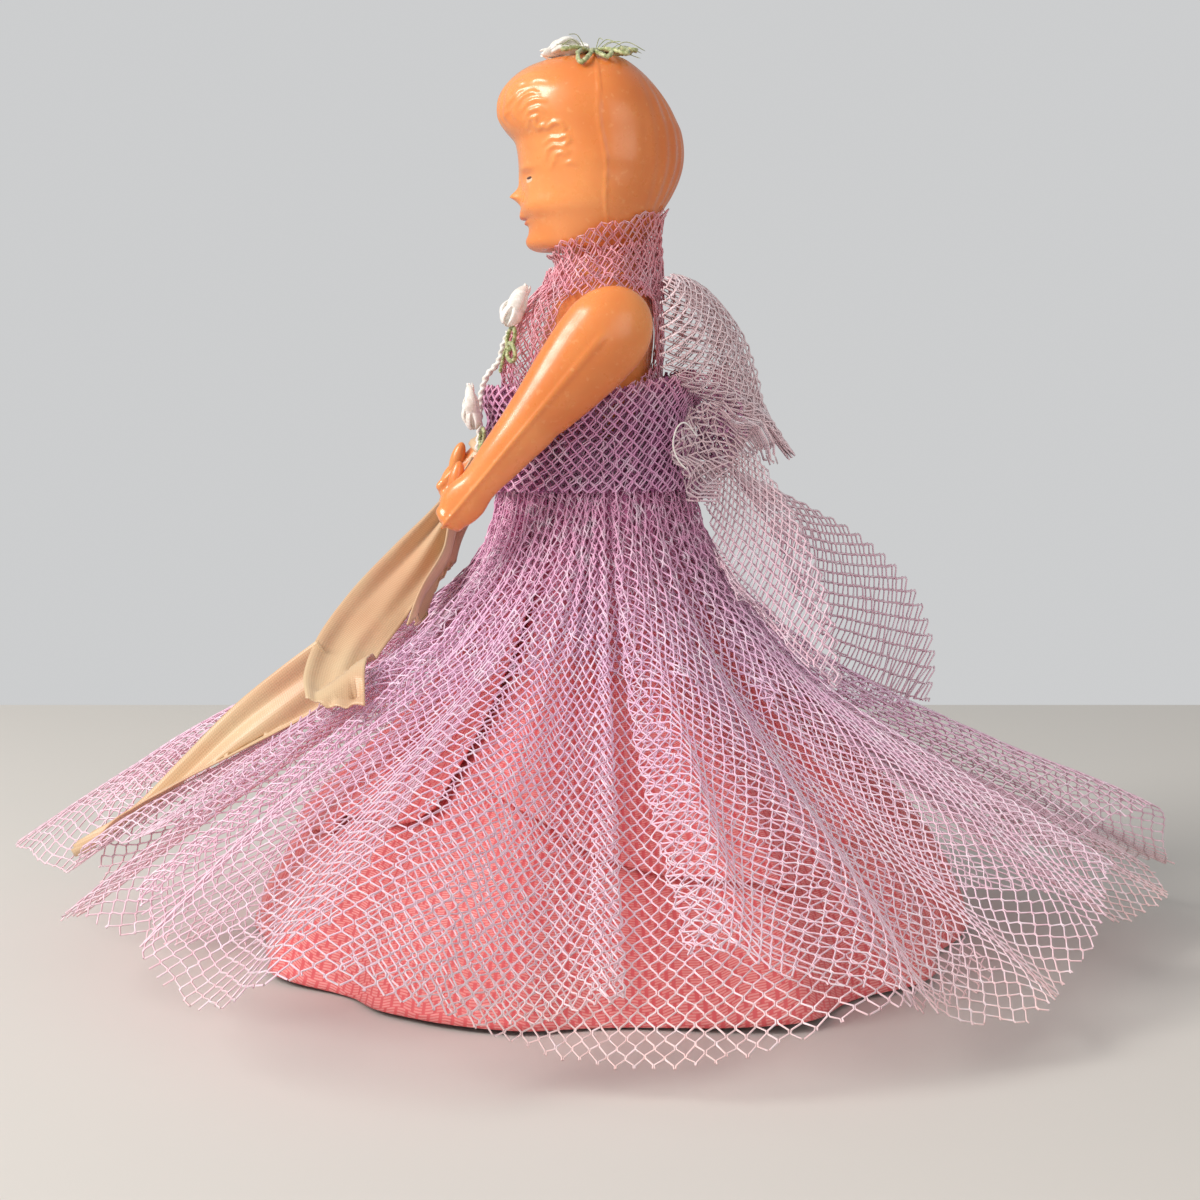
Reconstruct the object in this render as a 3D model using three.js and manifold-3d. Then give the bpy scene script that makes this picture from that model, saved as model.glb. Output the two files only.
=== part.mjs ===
import * as THREE from 'three';
import * as BufferGeometryUtils from 'three/addons/utils/BufferGeometryUtils.js';
import Module from 'manifold-3d';

// A fairy doll tree topper: a hollow moulded doll with strung arms, a satin underskirt,
// a skirt of pointed net panels, a net bodice and sash, a back bow and a ribbon in her hands.
// Millimetres, +Z up. She faces -Y, her left side is +X, and her soles stand on z = 0.

// Doll, overall
const chinHeight = 115.5;
const headHeight = 31.8;
const headHalfWidth = 13.3;
const headHalfDepth = 17.2;
const waistHeight = 84;
const hipHeight = 60;
const torsoHalfWidth = 14.3;
const torsoHalfDepth = 12;
const seamY = 1.5;
const seamGap = 0.3;
const bodyWall = 1.2;

// Legs and feet
const legSpacing = 14;
const legLength = 66;
const thighHalfWidth = 6.7;
const footReach = 11.2;

// Arms
const shoulderHeight = 101.4;
const armLength = 41;
const armCrown = 7.2;
const armHalfBreadth = 7;
const armHalfThickness = 4.8;
const armCentreX = torsoHalfWidth + armHalfThickness + 1.4;
const armWall = 1.1;
const leftArmAngle = 40.6;
const rightArmAngle = 46.5;
const socketRadius = 5.2;
const socketFloorX = torsoHalfWidth - 1.3;
const bossRadius = 4.6;
const bossEndX = armCentreX - 3.1;
const armholeMargin = 2;
const runningGap = 0.3;

// Elastic that strings the arms
const elasticRadius = 0.8;
const elasticBore = 1.3;
const stopperRadius = 1.9;

// Cloth
const clothThickness = 0.34;
const clothStep = 0.62;
const layerLift = 1.6;
const waistHalfWidth = 0.881 * torsoHalfWidth;
const waistFront = 1.133 * torsoHalfDepth;
const waistBack = 0.792 * torsoHalfDepth;
const hemClearance = 0.6;
const floorSoftness = 1.2;
const seatGap = 0.32;
const skirtFrontReach = 95;
const skirtSideReach = 88;
const skirtBackReach = 97;
const satinReach = 58;
const foldCount = 10;
const skirtColumns = 48;
const skirtRows = 6;
const netFoldHeight = 4;
const netOpenRows = 2;
const netStrand = 2.4;
const satinFoldHeight = 2.6;

// Ribbon
const ribbonWidth = 10.5;
const ribbonThickness = 0.4;
const wristPlace = 0.72;
const wristSlack = 0.55;
const strandClearance = 3;
const tailClearance = 1;

// Sash, bow and veil at the back
const sashLayer = 5;
const sashHeight = 17;
const sashDrop = 8.5;
const sashPleat = 0.4;
const knotRadius = 3.3;
const bowReach = 15;
const bowRadius = 7.5;
const veilHalfWidth = 11.5;
const veilDepth = 14.5;
const knotStretch = 1.35;
const bowTailClearance = 1.4;
const groundReach = 1.6;

// Rosebuds, leaf loops and stem
const budRadius = 2;
const budLength = 7.2;
const hairBudLength = 4.8;
const leafThickness = 0.36;
const leafLength = 4;
const stemRadius = 0.45;

const colours = {
  plastic: 0xeb9a5c,
  net: 0xd8a8c4,
  satin: 0xe87880,
  ribbon: 0xe0b88c,
  white: 0xf0ece4,
  green: 0x8a9a58,
  elastic: 0xe6dfd0,
};

const gloss = { plastic: 0.32, net: 0.7, satin: 0.5, ribbon: 0.45, trim: 0.6, elastic: 0.8 };

const wasm = await Module();
wasm.setup();

const root = new THREE.Group();

function addMesh(group, name, geometry, colour, roughness) {
  const material = new THREE.MeshStandardMaterial({ color: colour, roughness, metalness: 0 });
  const mesh = new THREE.Mesh(geometry, material);
  mesh.name = name;
  group.add(mesh);
  return mesh;
}

// Solids: a closed triangle list becomes a manifold for joins and cuts, and comes back as geometry.
function bareGeometry(geometry) {
  return BufferGeometryUtils.mergeVertices(stripped(geometry), 1e-5);
}

function stripped(geometry) {
  const copy = geometry.clone();
  copy.deleteAttribute('normal');
  copy.deleteAttribute('uv');
  return copy;
}

function toSolid(geometry) {
  const bare = bareGeometry(geometry);
  const vertProperties = new Float32Array(bare.attributes.position.array);
  const triVerts = new Uint32Array(bare.index.array);
  return new wasm.Manifold(new wasm.Mesh({ numProp: 3, vertProperties, triVerts }));
}

function toGeometry(solid) {
  const mesh = solid.getMesh();
  const geometry = new THREE.BufferGeometry();
  geometry.setAttribute('position', new THREE.BufferAttribute(mesh.vertProperties, 3));
  geometry.setIndex(new THREE.BufferAttribute(mesh.triVerts, 1));
  geometry.computeVertexNormals();
  return geometry;
}

function join(...geometries) {
  return toGeometry(geometries.map(toSolid).reduce((a, b) => a.add(b)));
}

function cut(geometry, ...tools) {
  return toGeometry(tools.map(toSolid).reduce((a, b) => a.subtract(b), toSolid(geometry)));
}

function common(geometry, other) {
  return toGeometry(toSolid(geometry).intersect(toSolid(other)));
}

function signedVolume(positions, index) {
  let total = 0;
  const a = new THREE.Vector3();
  const b = new THREE.Vector3();
  const c = new THREE.Vector3();
  for (let i = 0; i < index.length; i += 3) {
    a.fromArray(positions, index[i] * 3);
    b.fromArray(positions, index[i + 1] * 3);
    c.fromArray(positions, index[i + 2] * 3);
    total += a.dot(b.cross(c));
  }
  return total / 6;
}

function meshFrom(points, index) {
  const positions = new Float32Array(points.flatMap((p) => [p.x, p.y, p.z]));
  const outward = signedVolume(positions, index) > 0;
  const faces = outward ? index : index.slice().reverse();
  const geometry = new THREE.BufferGeometry();
  geometry.setAttribute('position', new THREE.BufferAttribute(positions, 3));
  geometry.setIndex(faces);
  geometry.computeVertexNormals();
  return geometry;
}

// Loft: rings of equally many points, closed at both ends with a fan.
function loft(rings) {
  const count = rings[0].length;
  const points = rings.flat();
  const index = [];
  for (let r = 0; r < rings.length - 1; r += 1) {
    for (let i = 0; i < count; i += 1) {
      const a = r * count + i;
      const b = r * count + (i + 1) % count;
      index.push(a, b, b + count, a, b + count, a + count);
    }
  }
  const first = points.length;
  points.push(middleOf(rings[0]), middleOf(rings[rings.length - 1]));
  const last = (rings.length - 1) * count;
  for (let i = 0; i < count; i += 1) {
    const next = (i + 1) % count;
    index.push(first, next, i, first + 1, last + i, last + next);
  }
  return meshFrom(points, index);
}

function middleOf(ring) {
  const sum = ring.reduce((total, p) => total.add(p), new THREE.Vector3());
  return sum.divideScalar(ring.length);
}

// An opening in a cell of a sheet: a rim of netStrand's half width on each side, and walls between.
// The corners run round the cell on one side, and the other side's lie a whole layer further on.
function openCell(points, index, corners, layer) {
  const rim = (shift) => corners.map((corner, k) => {
    const at = points[corner + shift];
    const inner = at.clone();
    for (const step of [1, 3]) {
      const edge = points[corners[(k + step) % 4] + shift].clone().sub(at);
      inner.addScaledVector(edge.normalize(), netStrand / 2);
    }
    return points.push(inner) - 1;
  });
  const quad = (a, b, c, d) => index.push(a, b, c, a, c, d);
  const near = rim(0);
  const far = rim(layer);
  corners.forEach((corner, k) => {
    const next = (k + 1) % 4;
    quad(corner, corners[next], near[next], near[k]);
    quad(layer + corner, far[k], far[next], layer + corners[next]);
    quad(near[k], near[next], far[next], far[k]);
  });
}

// Sheet: a thin closed solid between two sides of a surface. pointAt(u, v, side) gives a point of the
// surface, u across and v down, moved by side along its normal. A closed sheet meets itself in u. The
// last openRows rows have an opening in each cell, apart from the cells along the side edges.
function sheet(columns, rows, thickness, closed, pointAt, openRows = 0) {
  const wide = closed ? columns : columns + 1;
  const points = [];
  for (const side of [thickness / 2, -thickness / 2]) {
    for (let j = 0; j <= rows; j += 1) {
      for (let i = 0; i < wide; i += 1) {
        points.push(pointAt(i / columns, j / rows, side));
      }
    }
  }
  const index = [];
  const layer = wide * (rows + 1);
  const quad = (a, b, c, d) => index.push(a, b, c, a, c, d);
  for (let j = 0; j < rows; j += 1) {
    for (let i = 0; i < columns; i += 1) {
      const a = j * wide + i;
      const b = j * wide + (i + 1) % wide;
      const inside = i > 0 && i < columns - 1;
      if (inside && j >= rows - openRows) {
        openCell(points, index, [a, a + wide, b + wide, b], layer);
      } else {
        quad(a, a + wide, b + wide, b);
        quad(layer + a, layer + b, layer + b + wide, layer + a + wide);
      }
    }
  }
  const bottom = rows * wide;
  for (let i = 0; i < columns; i += 1) {
    const next = (i + 1) % wide;
    quad(i, next, layer + next, layer + i);
    quad(bottom + i, layer + bottom + i, layer + bottom + next, bottom + next);
  }
  if (!closed) {
    for (let j = 0; j < rows; j += 1) {
      const a = j * wide;
      const b = a + columns;
      quad(a, layer + a, layer + a + wide, a + wide);
      quad(b, b + wide, layer + b + wide, layer + b);
    }
  }
  return meshFrom(points, index);
}

function smooth(from, to, value) {
  return THREE.MathUtils.smoothstep(value, from, to);
}

// Reads one column of a table of sections by straight steps between its rows. Rows run in rising order.
function sectionAt(table, key) {
  const top = table.findIndex((row) => row[0] >= key);
  if (top === 0) return table[0].slice(1);
  if (top < 0) return table[table.length - 1].slice(1);
  const low = table[top - 1];
  const high = table[top];
  const share = (key - low[0]) / (high[0] - low[0]);
  return low.slice(1).map((value, i) => THREE.MathUtils.lerp(value, high[i + 1], share));
}

// Heights on the torso run from 0 at the hips over 1 at the waist to 2 at the chin.
function torsoLevel(level, hips = hipHeight) {
  if (level < 1) return THREE.MathUtils.lerp(hips, waistHeight, level);
  return THREE.MathUtils.lerp(waistHeight, chinHeight, level - 1);
}

// An oval ring round the Z axis: half width, front reach and back reach from the Y of its widest line.
function ovalPoint(halfWidth, front, back, centreY, angle) {
  const ahead = Math.cos(angle);
  const reach = ahead > 0 ? front + centreY : back - centreY;
  return [halfWidth * Math.sin(angle), centreY - ahead * reach];
}

// Doll. Head sections: share of head height, then half width, front and back as shares of the head's
// half width and half depth. The last value is where the ring is widest.
const headShape = [
  [0.000, 0.62, 0.58, 0.40, 0.0],
  [0.032, 0.68, 0.67, 0.44, 0.0],
  [0.085, 0.76, 0.68, 0.50, 0.5],
  [0.148, 0.84, 0.71, 0.56, 1.0],
  [0.200, 0.90, 0.765, 0.61, 1.0],
  [0.275, 0.95, 0.75, 0.695, 1.0],
  [0.370, 0.98, 0.77, 0.775, 1.0],
  [0.433, 1.00, 0.785, 0.805, 1.0],
  [0.500, 1.00, 0.80, 0.814, 1.0],
  [0.560, 1.00, 0.83, 0.805, 1.0],
  [0.610, 1.00, 0.91, 0.785, 1.0],
  [0.665, 0.995, 0.98, 0.74, 0.8],
  [0.730, 0.975, 1.00, 0.68, 0.5],
  [0.800, 0.92, 0.97, 0.595, 0.2],
  [0.870, 0.81, 0.875, 0.485, 0.0],
  [0.930, 0.66, 0.73, 0.365, 0.0],
  [0.975, 0.45, 0.50, 0.24, 0.0],
  [0.995, 0.25, 0.28, 0.14, 0.0],
];

// Torso sections: level on the torso, then the same shares for the torso.
const torsoShape = [
  [0.00, 0.93, 0.76, 0.80, 0.0],
  [0.23, 0.99, 0.87, 0.90, 0.0],
  [0.51, 0.95, 0.93, 0.86, 0.0],
  [0.76, 0.85, 0.94, 0.74, 0.0],
  [1.00, 0.81, 0.89, 0.65, 0.0],
  [1.19, 0.84, 0.88, 0.65, 0.0],
  [1.38, 0.90, 0.92, 0.71, 0.0],
  [1.57, 0.94, 0.79, 0.75, 0.8],
  [1.72, 0.87, 0.66, 0.71, 0.8],
  [1.805, 0.68, 0.55, 0.64, 0.6],
  [1.877, 0.47, 0.45, 0.58, 0.5],
  [1.947, 0.40, 0.42, 0.52, 0.3],
  [1.986, 0.41, 0.45, 0.50, 0.3],
];

const headColumnAngles = [0, 7, 15, 26, 40, 57, 74, 90, 107, 126, 144, 162, 180];

function mirroredAngles(half) {
  const other = half.slice(1, -1).reverse().map((angle) => 360 - angle);
  return half.concat(other).map(THREE.MathUtils.degToRad);
}

// Swellings of the face: half width, and height and place as shares of the head's height, then depth.
// The last value is how far out from the middle they lie.
const faceSwellings = [
  [1.5, 0.037, 0.280, 1.9, 0],
  [2.6, 0.023, 0.174, 0.7, 0],
  [4.0, 0.042, 0.042, 0.8, 0],
  [3.0, 0.085, 0.232, 0.5, 6.5],
];

function faceRelief(x, share) {
  return faceSwellings.reduce((total, [width, height, place, depth, out]) => {
    const across = out > 0 ? (Math.abs(x) - out) / width : x / width;
    const along = (share - place) / height;
    return total + depth * Math.exp(-across * across - along * along);
  }, 0);
}

// One ring of a section table, drawn in by inset and at least as wide as leastReach.
const leastReach = 0.6;

function sectionRing([, wide, front, back, centre], halfWidth, halfDepth, inset, angles, height) {
  return angles.map((angle) => {
    const [x, y] = ovalPoint(
      Math.max(leastReach, wide * halfWidth - inset),
      Math.max(leastReach, front * halfDepth - inset),
      Math.max(leastReach + centre, back * halfDepth - inset),
      centre,
      angle,
    );
    return new THREE.Vector3(x, y, height);
  });
}

function trunk(angles, inset, withFace) {
  const hips = inset > 0 ? hipHeight + 2 : hipHeight;
  const torso = torsoShape.map((row) => (
    sectionRing(row, torsoHalfWidth, torsoHalfDepth, inset, angles, torsoLevel(row[0], hips))
  ));
  const head = headShape.map((row) => {
    const height = chinHeight + inset + row[0] * (headHeight - 2 * inset);
    const ring = sectionRing(row, headHalfWidth, headHalfDepth, inset, angles, height);
    return ring.map((p) => (withFace && p.y < 0 ? p.setY(p.y - faceRelief(p.x, row[0])) : p));
  });
  return loft(torso.concat(head));
}

// Leg sections: height as a share of the leg, then half width, front and back as shares of the thigh.
const legShape = [
  [0.00, 0.48, -0.95, 0.46],
  [0.02, 0.54, -1, 0.56],
  [0.05, 0.54, -0.94, 0.58],
  [0.08, 0.52, -0.62, 0.58],
  [0.125, 0.49, -0.34, 0.56],
  [0.18, 0.54, 0.54, 0.60],
  [0.43, 0.78, 0.66, 0.88],
  [0.54, 0.75, 0.72, 0.76],
  [0.77, 0.93, 0.94, 0.94],
  [1.00, 1.00, 1.26, 1.30],
];

function leg(side, sides, inset) {
  const angles = Array.from({ length: sides }, (_, i) => i / sides * Math.PI * 2);
  const floor = inset > 0 ? inset + 0.6 : 0;
  const rings = legShape.map(([share, wide, front, back]) => {
    const ahead = front < 0 ? -front * footReach : front * thighHalfWidth;
    return angles.map((angle) => {
      const halfWidth = wide * thighHalfWidth - inset;
      const [x, y] = ovalPoint(halfWidth, ahead - inset, back * thighHalfWidth - inset, 0, angle);
      return new THREE.Vector3(side * legSpacing / 2 + x, y, floor + share * (legLength - floor));
    });
  });
  return loft(rings);
}

function shoulderPlug(radius, fromX, toX, sides = 14) {
  const plug = new THREE.CylinderGeometry(radius, radius, toX - fromX, sides);
  plug.rotateZ(Math.PI / 2);
  plug.translate((fromX + toX) / 2, seamY, shoulderHeight);
  return plug;
}

// A box in front of or behind the plane in which the two mould halves meet.
function halfSpace(front, y = seamY) {
  const size = 3 * (chinHeight + headHeight);
  const box = new THREE.BoxGeometry(size, size, size);
  const shift = (size + seamGap) / 2;
  box.translate(0, front ? y - shift : y + shift, 0);
  return box;
}

function hollowBody() {
  const fineAngles = mirroredAngles(headColumnAngles);
  const coarseAngles = mirroredAngles([0, 35, 72, 120, 180]);
  const outer = join(trunk(fineAngles, 0, true), leg(1, 12, 0), leg(-1, 12, 0));
  const inner = join(trunk(coarseAngles, bodyWall, false), leg(1, 7, bodyWall), leg(-1, 7, bodyWall));
  const sockets = [1, -1].map((side) => {
    const ends = [side * socketFloorX, side * (torsoHalfWidth + 4)].sort((a, b) => a - b);
    return shoulderPlug(socketRadius, ends[0], ends[1]);
  });
  const bore = shoulderPlug(elasticBore, -torsoHalfWidth - 4, torsoHalfWidth + 4, 8);
  return cut(outer, inner, ...sockets, bore);
}

function addBody() {
  const body = hollowBody();
  return [
    addMesh(root, 'body_front_shell', common(body, halfSpace(true)), colours.plastic, gloss.plastic),
    addMesh(root, 'body_back_shell', common(body, halfSpace(false)), colours.plastic, gloss.plastic),
  ];
}

// Arms, each in its own frame: the pivot is the origin and the arm hangs down -Z.
// Sections: share of the length below the pivot, or of the crown above it where it is less than 0,
// then half breadth and half thickness, and how far the arm leans in there.
const armShape = [
  [-0.97, 0.42, 0.48, 0],
  [-0.78, 0.68, 0.74, 0],
  [-0.375, 0.93, 0.95, 0],
  [0.03, 1.00, 1.00, 0],
  [0.22, 0.93, 0.97, 0],
  [0.44, 0.73, 0.88, 0.5],
  [0.66, 0.60, 0.75, 1.4],
  [0.79, 0.50, 0.58, 2.1],
  [0.87, 0.56, 0.50, 2.5],
  [0.94, 0.44, 0.40, 2.8],
  [0.99, 0.20, 0.22, 3.0],
];

function armLoft(side, sides, inset) {
  const angles = Array.from({ length: sides }, (_, i) => i / sides * Math.PI * 2);
  const rings = armShape.map(([share, breadth, thickness, lean]) => angles.map((angle) => {
    const x = Math.max(leastReach, thickness * armHalfThickness - inset) * Math.sin(angle);
    const y = Math.max(leastReach, breadth * armHalfBreadth - inset) * -Math.cos(angle);
    const squeeze = 1 - 2 * inset / (armLength + armCrown);
    const z = -share * (share < 0 ? armCrown : armLength) * squeeze;
    return new THREE.Vector3(side * (armCentreX - lean) + x, y, z);
  }));
  return loft(rings);
}

function armBoss(side, radius, fromX, toX, sides) {
  const boss = new THREE.CylinderGeometry(radius, radius, toX - fromX, sides);
  boss.rotateZ(Math.PI / 2);
  boss.translate(side * (fromX + toX) / 2, 0, 0);
  return boss;
}

function thumb(side) {
  const tip = new THREE.SphereGeometry(1.2, 8, 6);
  tip.scale(1, 1, 2.6);
  tip.rotateX(0.5);
  tip.translate(side * (armCentreX - 3.6), -armHalfBreadth * 0.46, -armLength * 0.83);
  return tip;
}

function hollowArm(side) {
  const outer = join(armLoft(side, 12, 0), thumb(side));
  const shell = cut(outer, armLoft(side, 8, armWall));
  const boss = armBoss(side, bossRadius, socketFloorX + runningGap, bossEndX, 14);
  const bore = armBoss(side, elasticBore, socketFloorX - 1, bossEndX + 1, 8);
  return cut(join(shell, boss), bore);
}

function addArm(name, side, angle) {
  const group = new THREE.Group();
  group.position.set(0, seamY, shoulderHeight);
  group.rotation.x = -THREE.MathUtils.degToRad(angle);
  root.add(group);
  const arm = hollowArm(side);
  addMesh(group, `${name}_arm_front_half`, common(arm, halfSpace(true, 0)), colours.plastic, gloss.plastic);
  addMesh(group, `${name}_arm_back_half`, common(arm, halfSpace(false, 0)), colours.plastic, gloss.plastic);
  return group;
}

// One cord through both arms and the body, with a round stopper inside each arm.
function addElastic() {
  const stopperX = bossEndX + runningGap + stopperRadius;
  const stopperTurns = [0.35, 0.75, 1.2, 1.94];
  const farHalf = stopperTurns.map((turn) => (
    new THREE.Vector2(stopperRadius * Math.sin(turn), stopperX + stopperRadius * Math.cos(turn))
  ));
  const nearHalf = farHalf.map((p) => new THREE.Vector2(p.x, -p.y));
  const profile = [
    new THREE.Vector2(0, -stopperX - stopperRadius),
    ...nearHalf,
    new THREE.Vector2(elasticRadius, -bossEndX - runningGap),
    new THREE.Vector2(elasticRadius, bossEndX + runningGap),
    ...farHalf.reverse(),
    new THREE.Vector2(0, stopperX + stopperRadius),
  ];
  const elastic = new THREE.LatheGeometry(profile, 10);
  elastic.rotateZ(-Math.PI / 2);
  elastic.translate(0, seamY, shoulderHeight);
  addMesh(root, 'arm_elastic', bareGeometry(elastic), colours.elastic, gloss.elastic);
}

// Cloth rings at the waist: layer 0 lies on the doll, and each next one lies over it.
function waistPoint(layer, turn) {
  return {
    halfWidth: waistHalfWidth + clothStep * layer,
    front: waistFront + 1.6 * clothStep * layer,
    back: waistBack + 1.9 * clothStep * layer,
    turn,
  };
}

function ringRadius({ halfWidth, front, back, turn }) {
  const across = Math.sin(turn) / halfWidth;
  const along = Math.cos(turn) / (Math.cos(turn) > 0 ? front : back);
  return 1 / Math.hypot(across, along);
}

// Skirt profiles: two inner control points and the end of a curve from waist to hem. The first is a
// share of the waist's half width and the others of the reach, and heights are shares of the waist's.
function skirtProfile(reach, ...rows) {
  return rows.map(([out, up], i) => [out * (i === 0 ? waistHalfWidth : reach), up * waistHeight]);
}

const netProfiles = {
  front: skirtProfile(skirtFrontReach, [0.675, 0.524], [0.347, 0.595], [1, 0.06]),
  side: skirtProfile(skirtSideReach, [0.992, 0.548], [0.5, 0.452], [1, 0.006]),
  back: skirtProfile(skirtBackReach, [0.873, 0.5], [0.423, 0.369], [1, 0.006]),
};
const satinProfiles = {
  front: skirtProfile(satinReach, [0.833, 0.405], [0.759, 0.429], [0.983, 0.006]),
  side: skirtProfile(satinReach, [1.175, 0.429], [0.862, 0.44], [1, 0.006]),
  back: skirtProfile(satinReach, [0.952, 0.429], [0.81, 0.44], [1, 0.006]),
};

function profileControls(profiles, turn) {
  const ahead = Math.cos(turn);
  const end = ahead > 0 ? profiles.front : profiles.back;
  const share = ahead * ahead;
  return profiles.side.map(([radius, height], i) => [
    THREE.MathUtils.lerp(radius, end[i][0], share),
    THREE.MathUtils.lerp(height, end[i][1], share),
  ]);
}

// The folds round the skirt: even ones, drawn together in places, over a slow swell.
function foldWave(turn) {
  const main = Math.cos(foldCount * turn + 0.5 * Math.sin(2 * turn));
  const slow = Math.cos(4 * turn + 1.1);
  return 0.72 * main + 0.28 * slow;
}

function skirtPoint(profiles, layer, level, foldHeight, turn, fall, side) {
  const waist = ringRadius(waistPoint(layer, turn));
  const start = new THREE.Vector2(waist, waistHeight);
  const controls = profileControls(profiles, turn);
  const [first, second, end] = controls.map(([radius, height]) => new THREE.Vector2(radius, height));
  first.x += waist - ringRadius(waistPoint(0, turn));
  const curve = new THREE.CubicBezierCurve(start, first, second, end);
  const at = curve.getPoint(fall);
  const along = curve.getTangent(fall);
  const normal = new THREE.Vector2(-along.y, along.x);
  const lift = layerLift * (layer - 1) * smooth(0.05, 0.4, fall);
  const fold = foldHeight * smooth(0.03, 0.9, fall) * foldWave(turn);
  at.addScaledVector(normal, lift + fold + side);
  const height = softFloor(at.y, hemClearance + layerLift * level + clothThickness / 2 + side);
  return new THREE.Vector3(at.x * Math.sin(turn), -at.x * Math.cos(turn), height);
}

// Rows lie closer together near the waist, where the layers do.
function rowFall(v) {
  return v ** 1.3;
}

// Cloth that would fall below the floor lies on it, with a soft turn.
function softFloor(height, floor) {
  const over = (height - floor) / floorSoftness;
  const farAbove = 20;
  return over > farAbove ? height : floor + floorSoftness * Math.log1p(Math.exp(over));
}

function addSatinUnderskirt() {
  const geometry = sheet(skirtColumns, skirtRows, clothThickness, true, (u, v, side) => (
    skirtPoint(satinProfiles, 1, 0, satinFoldHeight, u * Math.PI * 2, rowFall(v), side)
  ));
  return addMesh(root, 'satin_underskirt', geometry, colours.satin, gloss.satin);
}

// Pointed panels: from one turn to another in degrees, then how far down the curve the edges and the
// tip hang, and where the tip lies across the panel.
const satinPanels = [
  [-58, 56, 0.68, 0.86, 0.35],
  [64, 176, 0.62, 0.84, 0.5],
  [184, 296, 0.66, 0.82, 0.6],
];
const innerNetPanels = [
  [-72, -6, 0.84, 0.97, 0.55],
  [-3, 63, 0.84, 0.965, 0.45],
  [66, 132, 0.87, 0.985, 0.5],
  [135, 213, 0.82, 0.98, 0.5],
  [216, 285, 0.86, 0.98, 0.5],
];
const outerNetPanels = [
  [-36, 34, 0.80, 1.0, 0.5],
  [37, 93, 0.86, 1.0, 0.4],
  [96, 156, 0.82, 0.99, 0.5],
  [159, 228, 0.80, 1.0, 0.35],
  [231, 321, 0.80, 0.97, 0.45],
];

function panelHem(edge, tip, place, u) {
  const away = u < place ? (place - u) / place : (u - place) / (1 - place);
  return THREE.MathUtils.lerp(tip, edge, away ** 1.2);
}

// All layers bend along the same lines, so their folds nest: between its edges a panel has its columns
// where the whole ring has them.
function panelTurns(from, to) {
  const step = 360 / skirtColumns;
  const narrowest = step * 0.4;
  const first = Math.ceil((from + narrowest) / step) * step;
  const turns = [from];
  for (let turn = first; turn < to - narrowest; turn += step) {
    turns.push(turn);
  }
  return turns.concat(to);
}

function skirtPanel([from, to, edge, tip, place], profiles, layer, level, foldHeight, openRows = 0) {
  const turns = panelTurns(from, to);
  const columns = turns.length - 1;
  return sheet(columns, skirtRows, clothThickness, false, (u, v, side) => {
    const turn = THREE.MathUtils.degToRad(turns[Math.round(u * columns)]);
    const fall = rowFall(v) * panelHem(edge, tip, place, u);
    return skirtPoint(profiles, layer, level, foldHeight, turn, fall, side);
  }, openRows);
}

// Adds the panels of a layer of net, and returns them without their openings, for what lies on them.
function addNets(stem, panels, layer, level, openRows) {
  return panels.map((panel, i) => {
    const geometry = skirtPanel(panel, netProfiles, layer, level, netFoldHeight, openRows);
    addMesh(root, `${stem}_${i + 1}`, geometry, colours.net, gloss.net);
    return new THREE.Mesh(skirtPanel(panel, netProfiles, layer, level, netFoldHeight));
  });
}

function addSatinOverskirt() {
  satinPanels.forEach((panel, i) => {
    const geometry = skirtPanel(panel, satinProfiles, 2, 1, satinFoldHeight);
    addMesh(root, `satin_overskirt_${i + 1}`, geometry, colours.satin, gloss.satin);
  });
}

const bodiceTop = 1.857;

// Bodice sections: level on the torso, then half width, front and back as shares of the waist's.
const bodiceShape = [
  [0.917, 1.000, 1.000, 1.000],
  [1.000, 1.000, 1.000, 1.000],
  [1.190, 1.071, 1.162, 1.032],
  [1.381, 1.127, 1.191, 1.063],
  [1.571, 1.159, 1.088, 1.074],
  [1.730, 1.087, 0.838, 1.010],
  [1.810, 0.873, 0.662, 0.926],
  [bodiceTop, 0.690, 0.515, 0.863],
];

function addBodice() {
  const last = bodiceShape.length - 1;
  const ring = sheet(26, last, clothThickness, true, (u, v, side) => {
    const turn = u * Math.PI * 2;
    const [level, wide, ahead, behind] = bodiceShape[Math.round(v * last)];
    const halfWidth = wide * waistHalfWidth + side;
    const front = ahead * waistFront + side;
    const back = behind * waistBack + side;
    const radius = ringRadius({ halfWidth, front, back, turn });
    return new THREE.Vector3(radius * Math.sin(turn), -radius * Math.cos(turn), torsoLevel(level));
  });
  const armholes = [1, -1].map((side) => {
    const ends = [side * (socketFloorX - 3), side * (socketFloorX + 8)].sort((a, b) => a - b);
    return shoulderPlug(armHalfBreadth + armholeMargin, ends[0], ends[1], 16);
  });
  return addMesh(root, 'net_bodice', cut(ring, ...armholes), colours.net, gloss.net);
}

// The collar stands round the neck, low under the chin and high under the hair at the back.
const collar = {
  halfWidth: 0.615 * torsoHalfWidth,
  sideSpread: 3,
  front: 0.6 * torsoHalfDepth,
  frontSpread: 0.4,
  back: 0.733 * torsoHalfDepth,
  backSpread: 2.1,
  foot: torsoLevel(bodiceTop) + 1,
  footDrop: 0.7,
  frontTop: torsoLevel(bodiceTop) + 3.1,
  backRise: 5.9,
};

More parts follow.
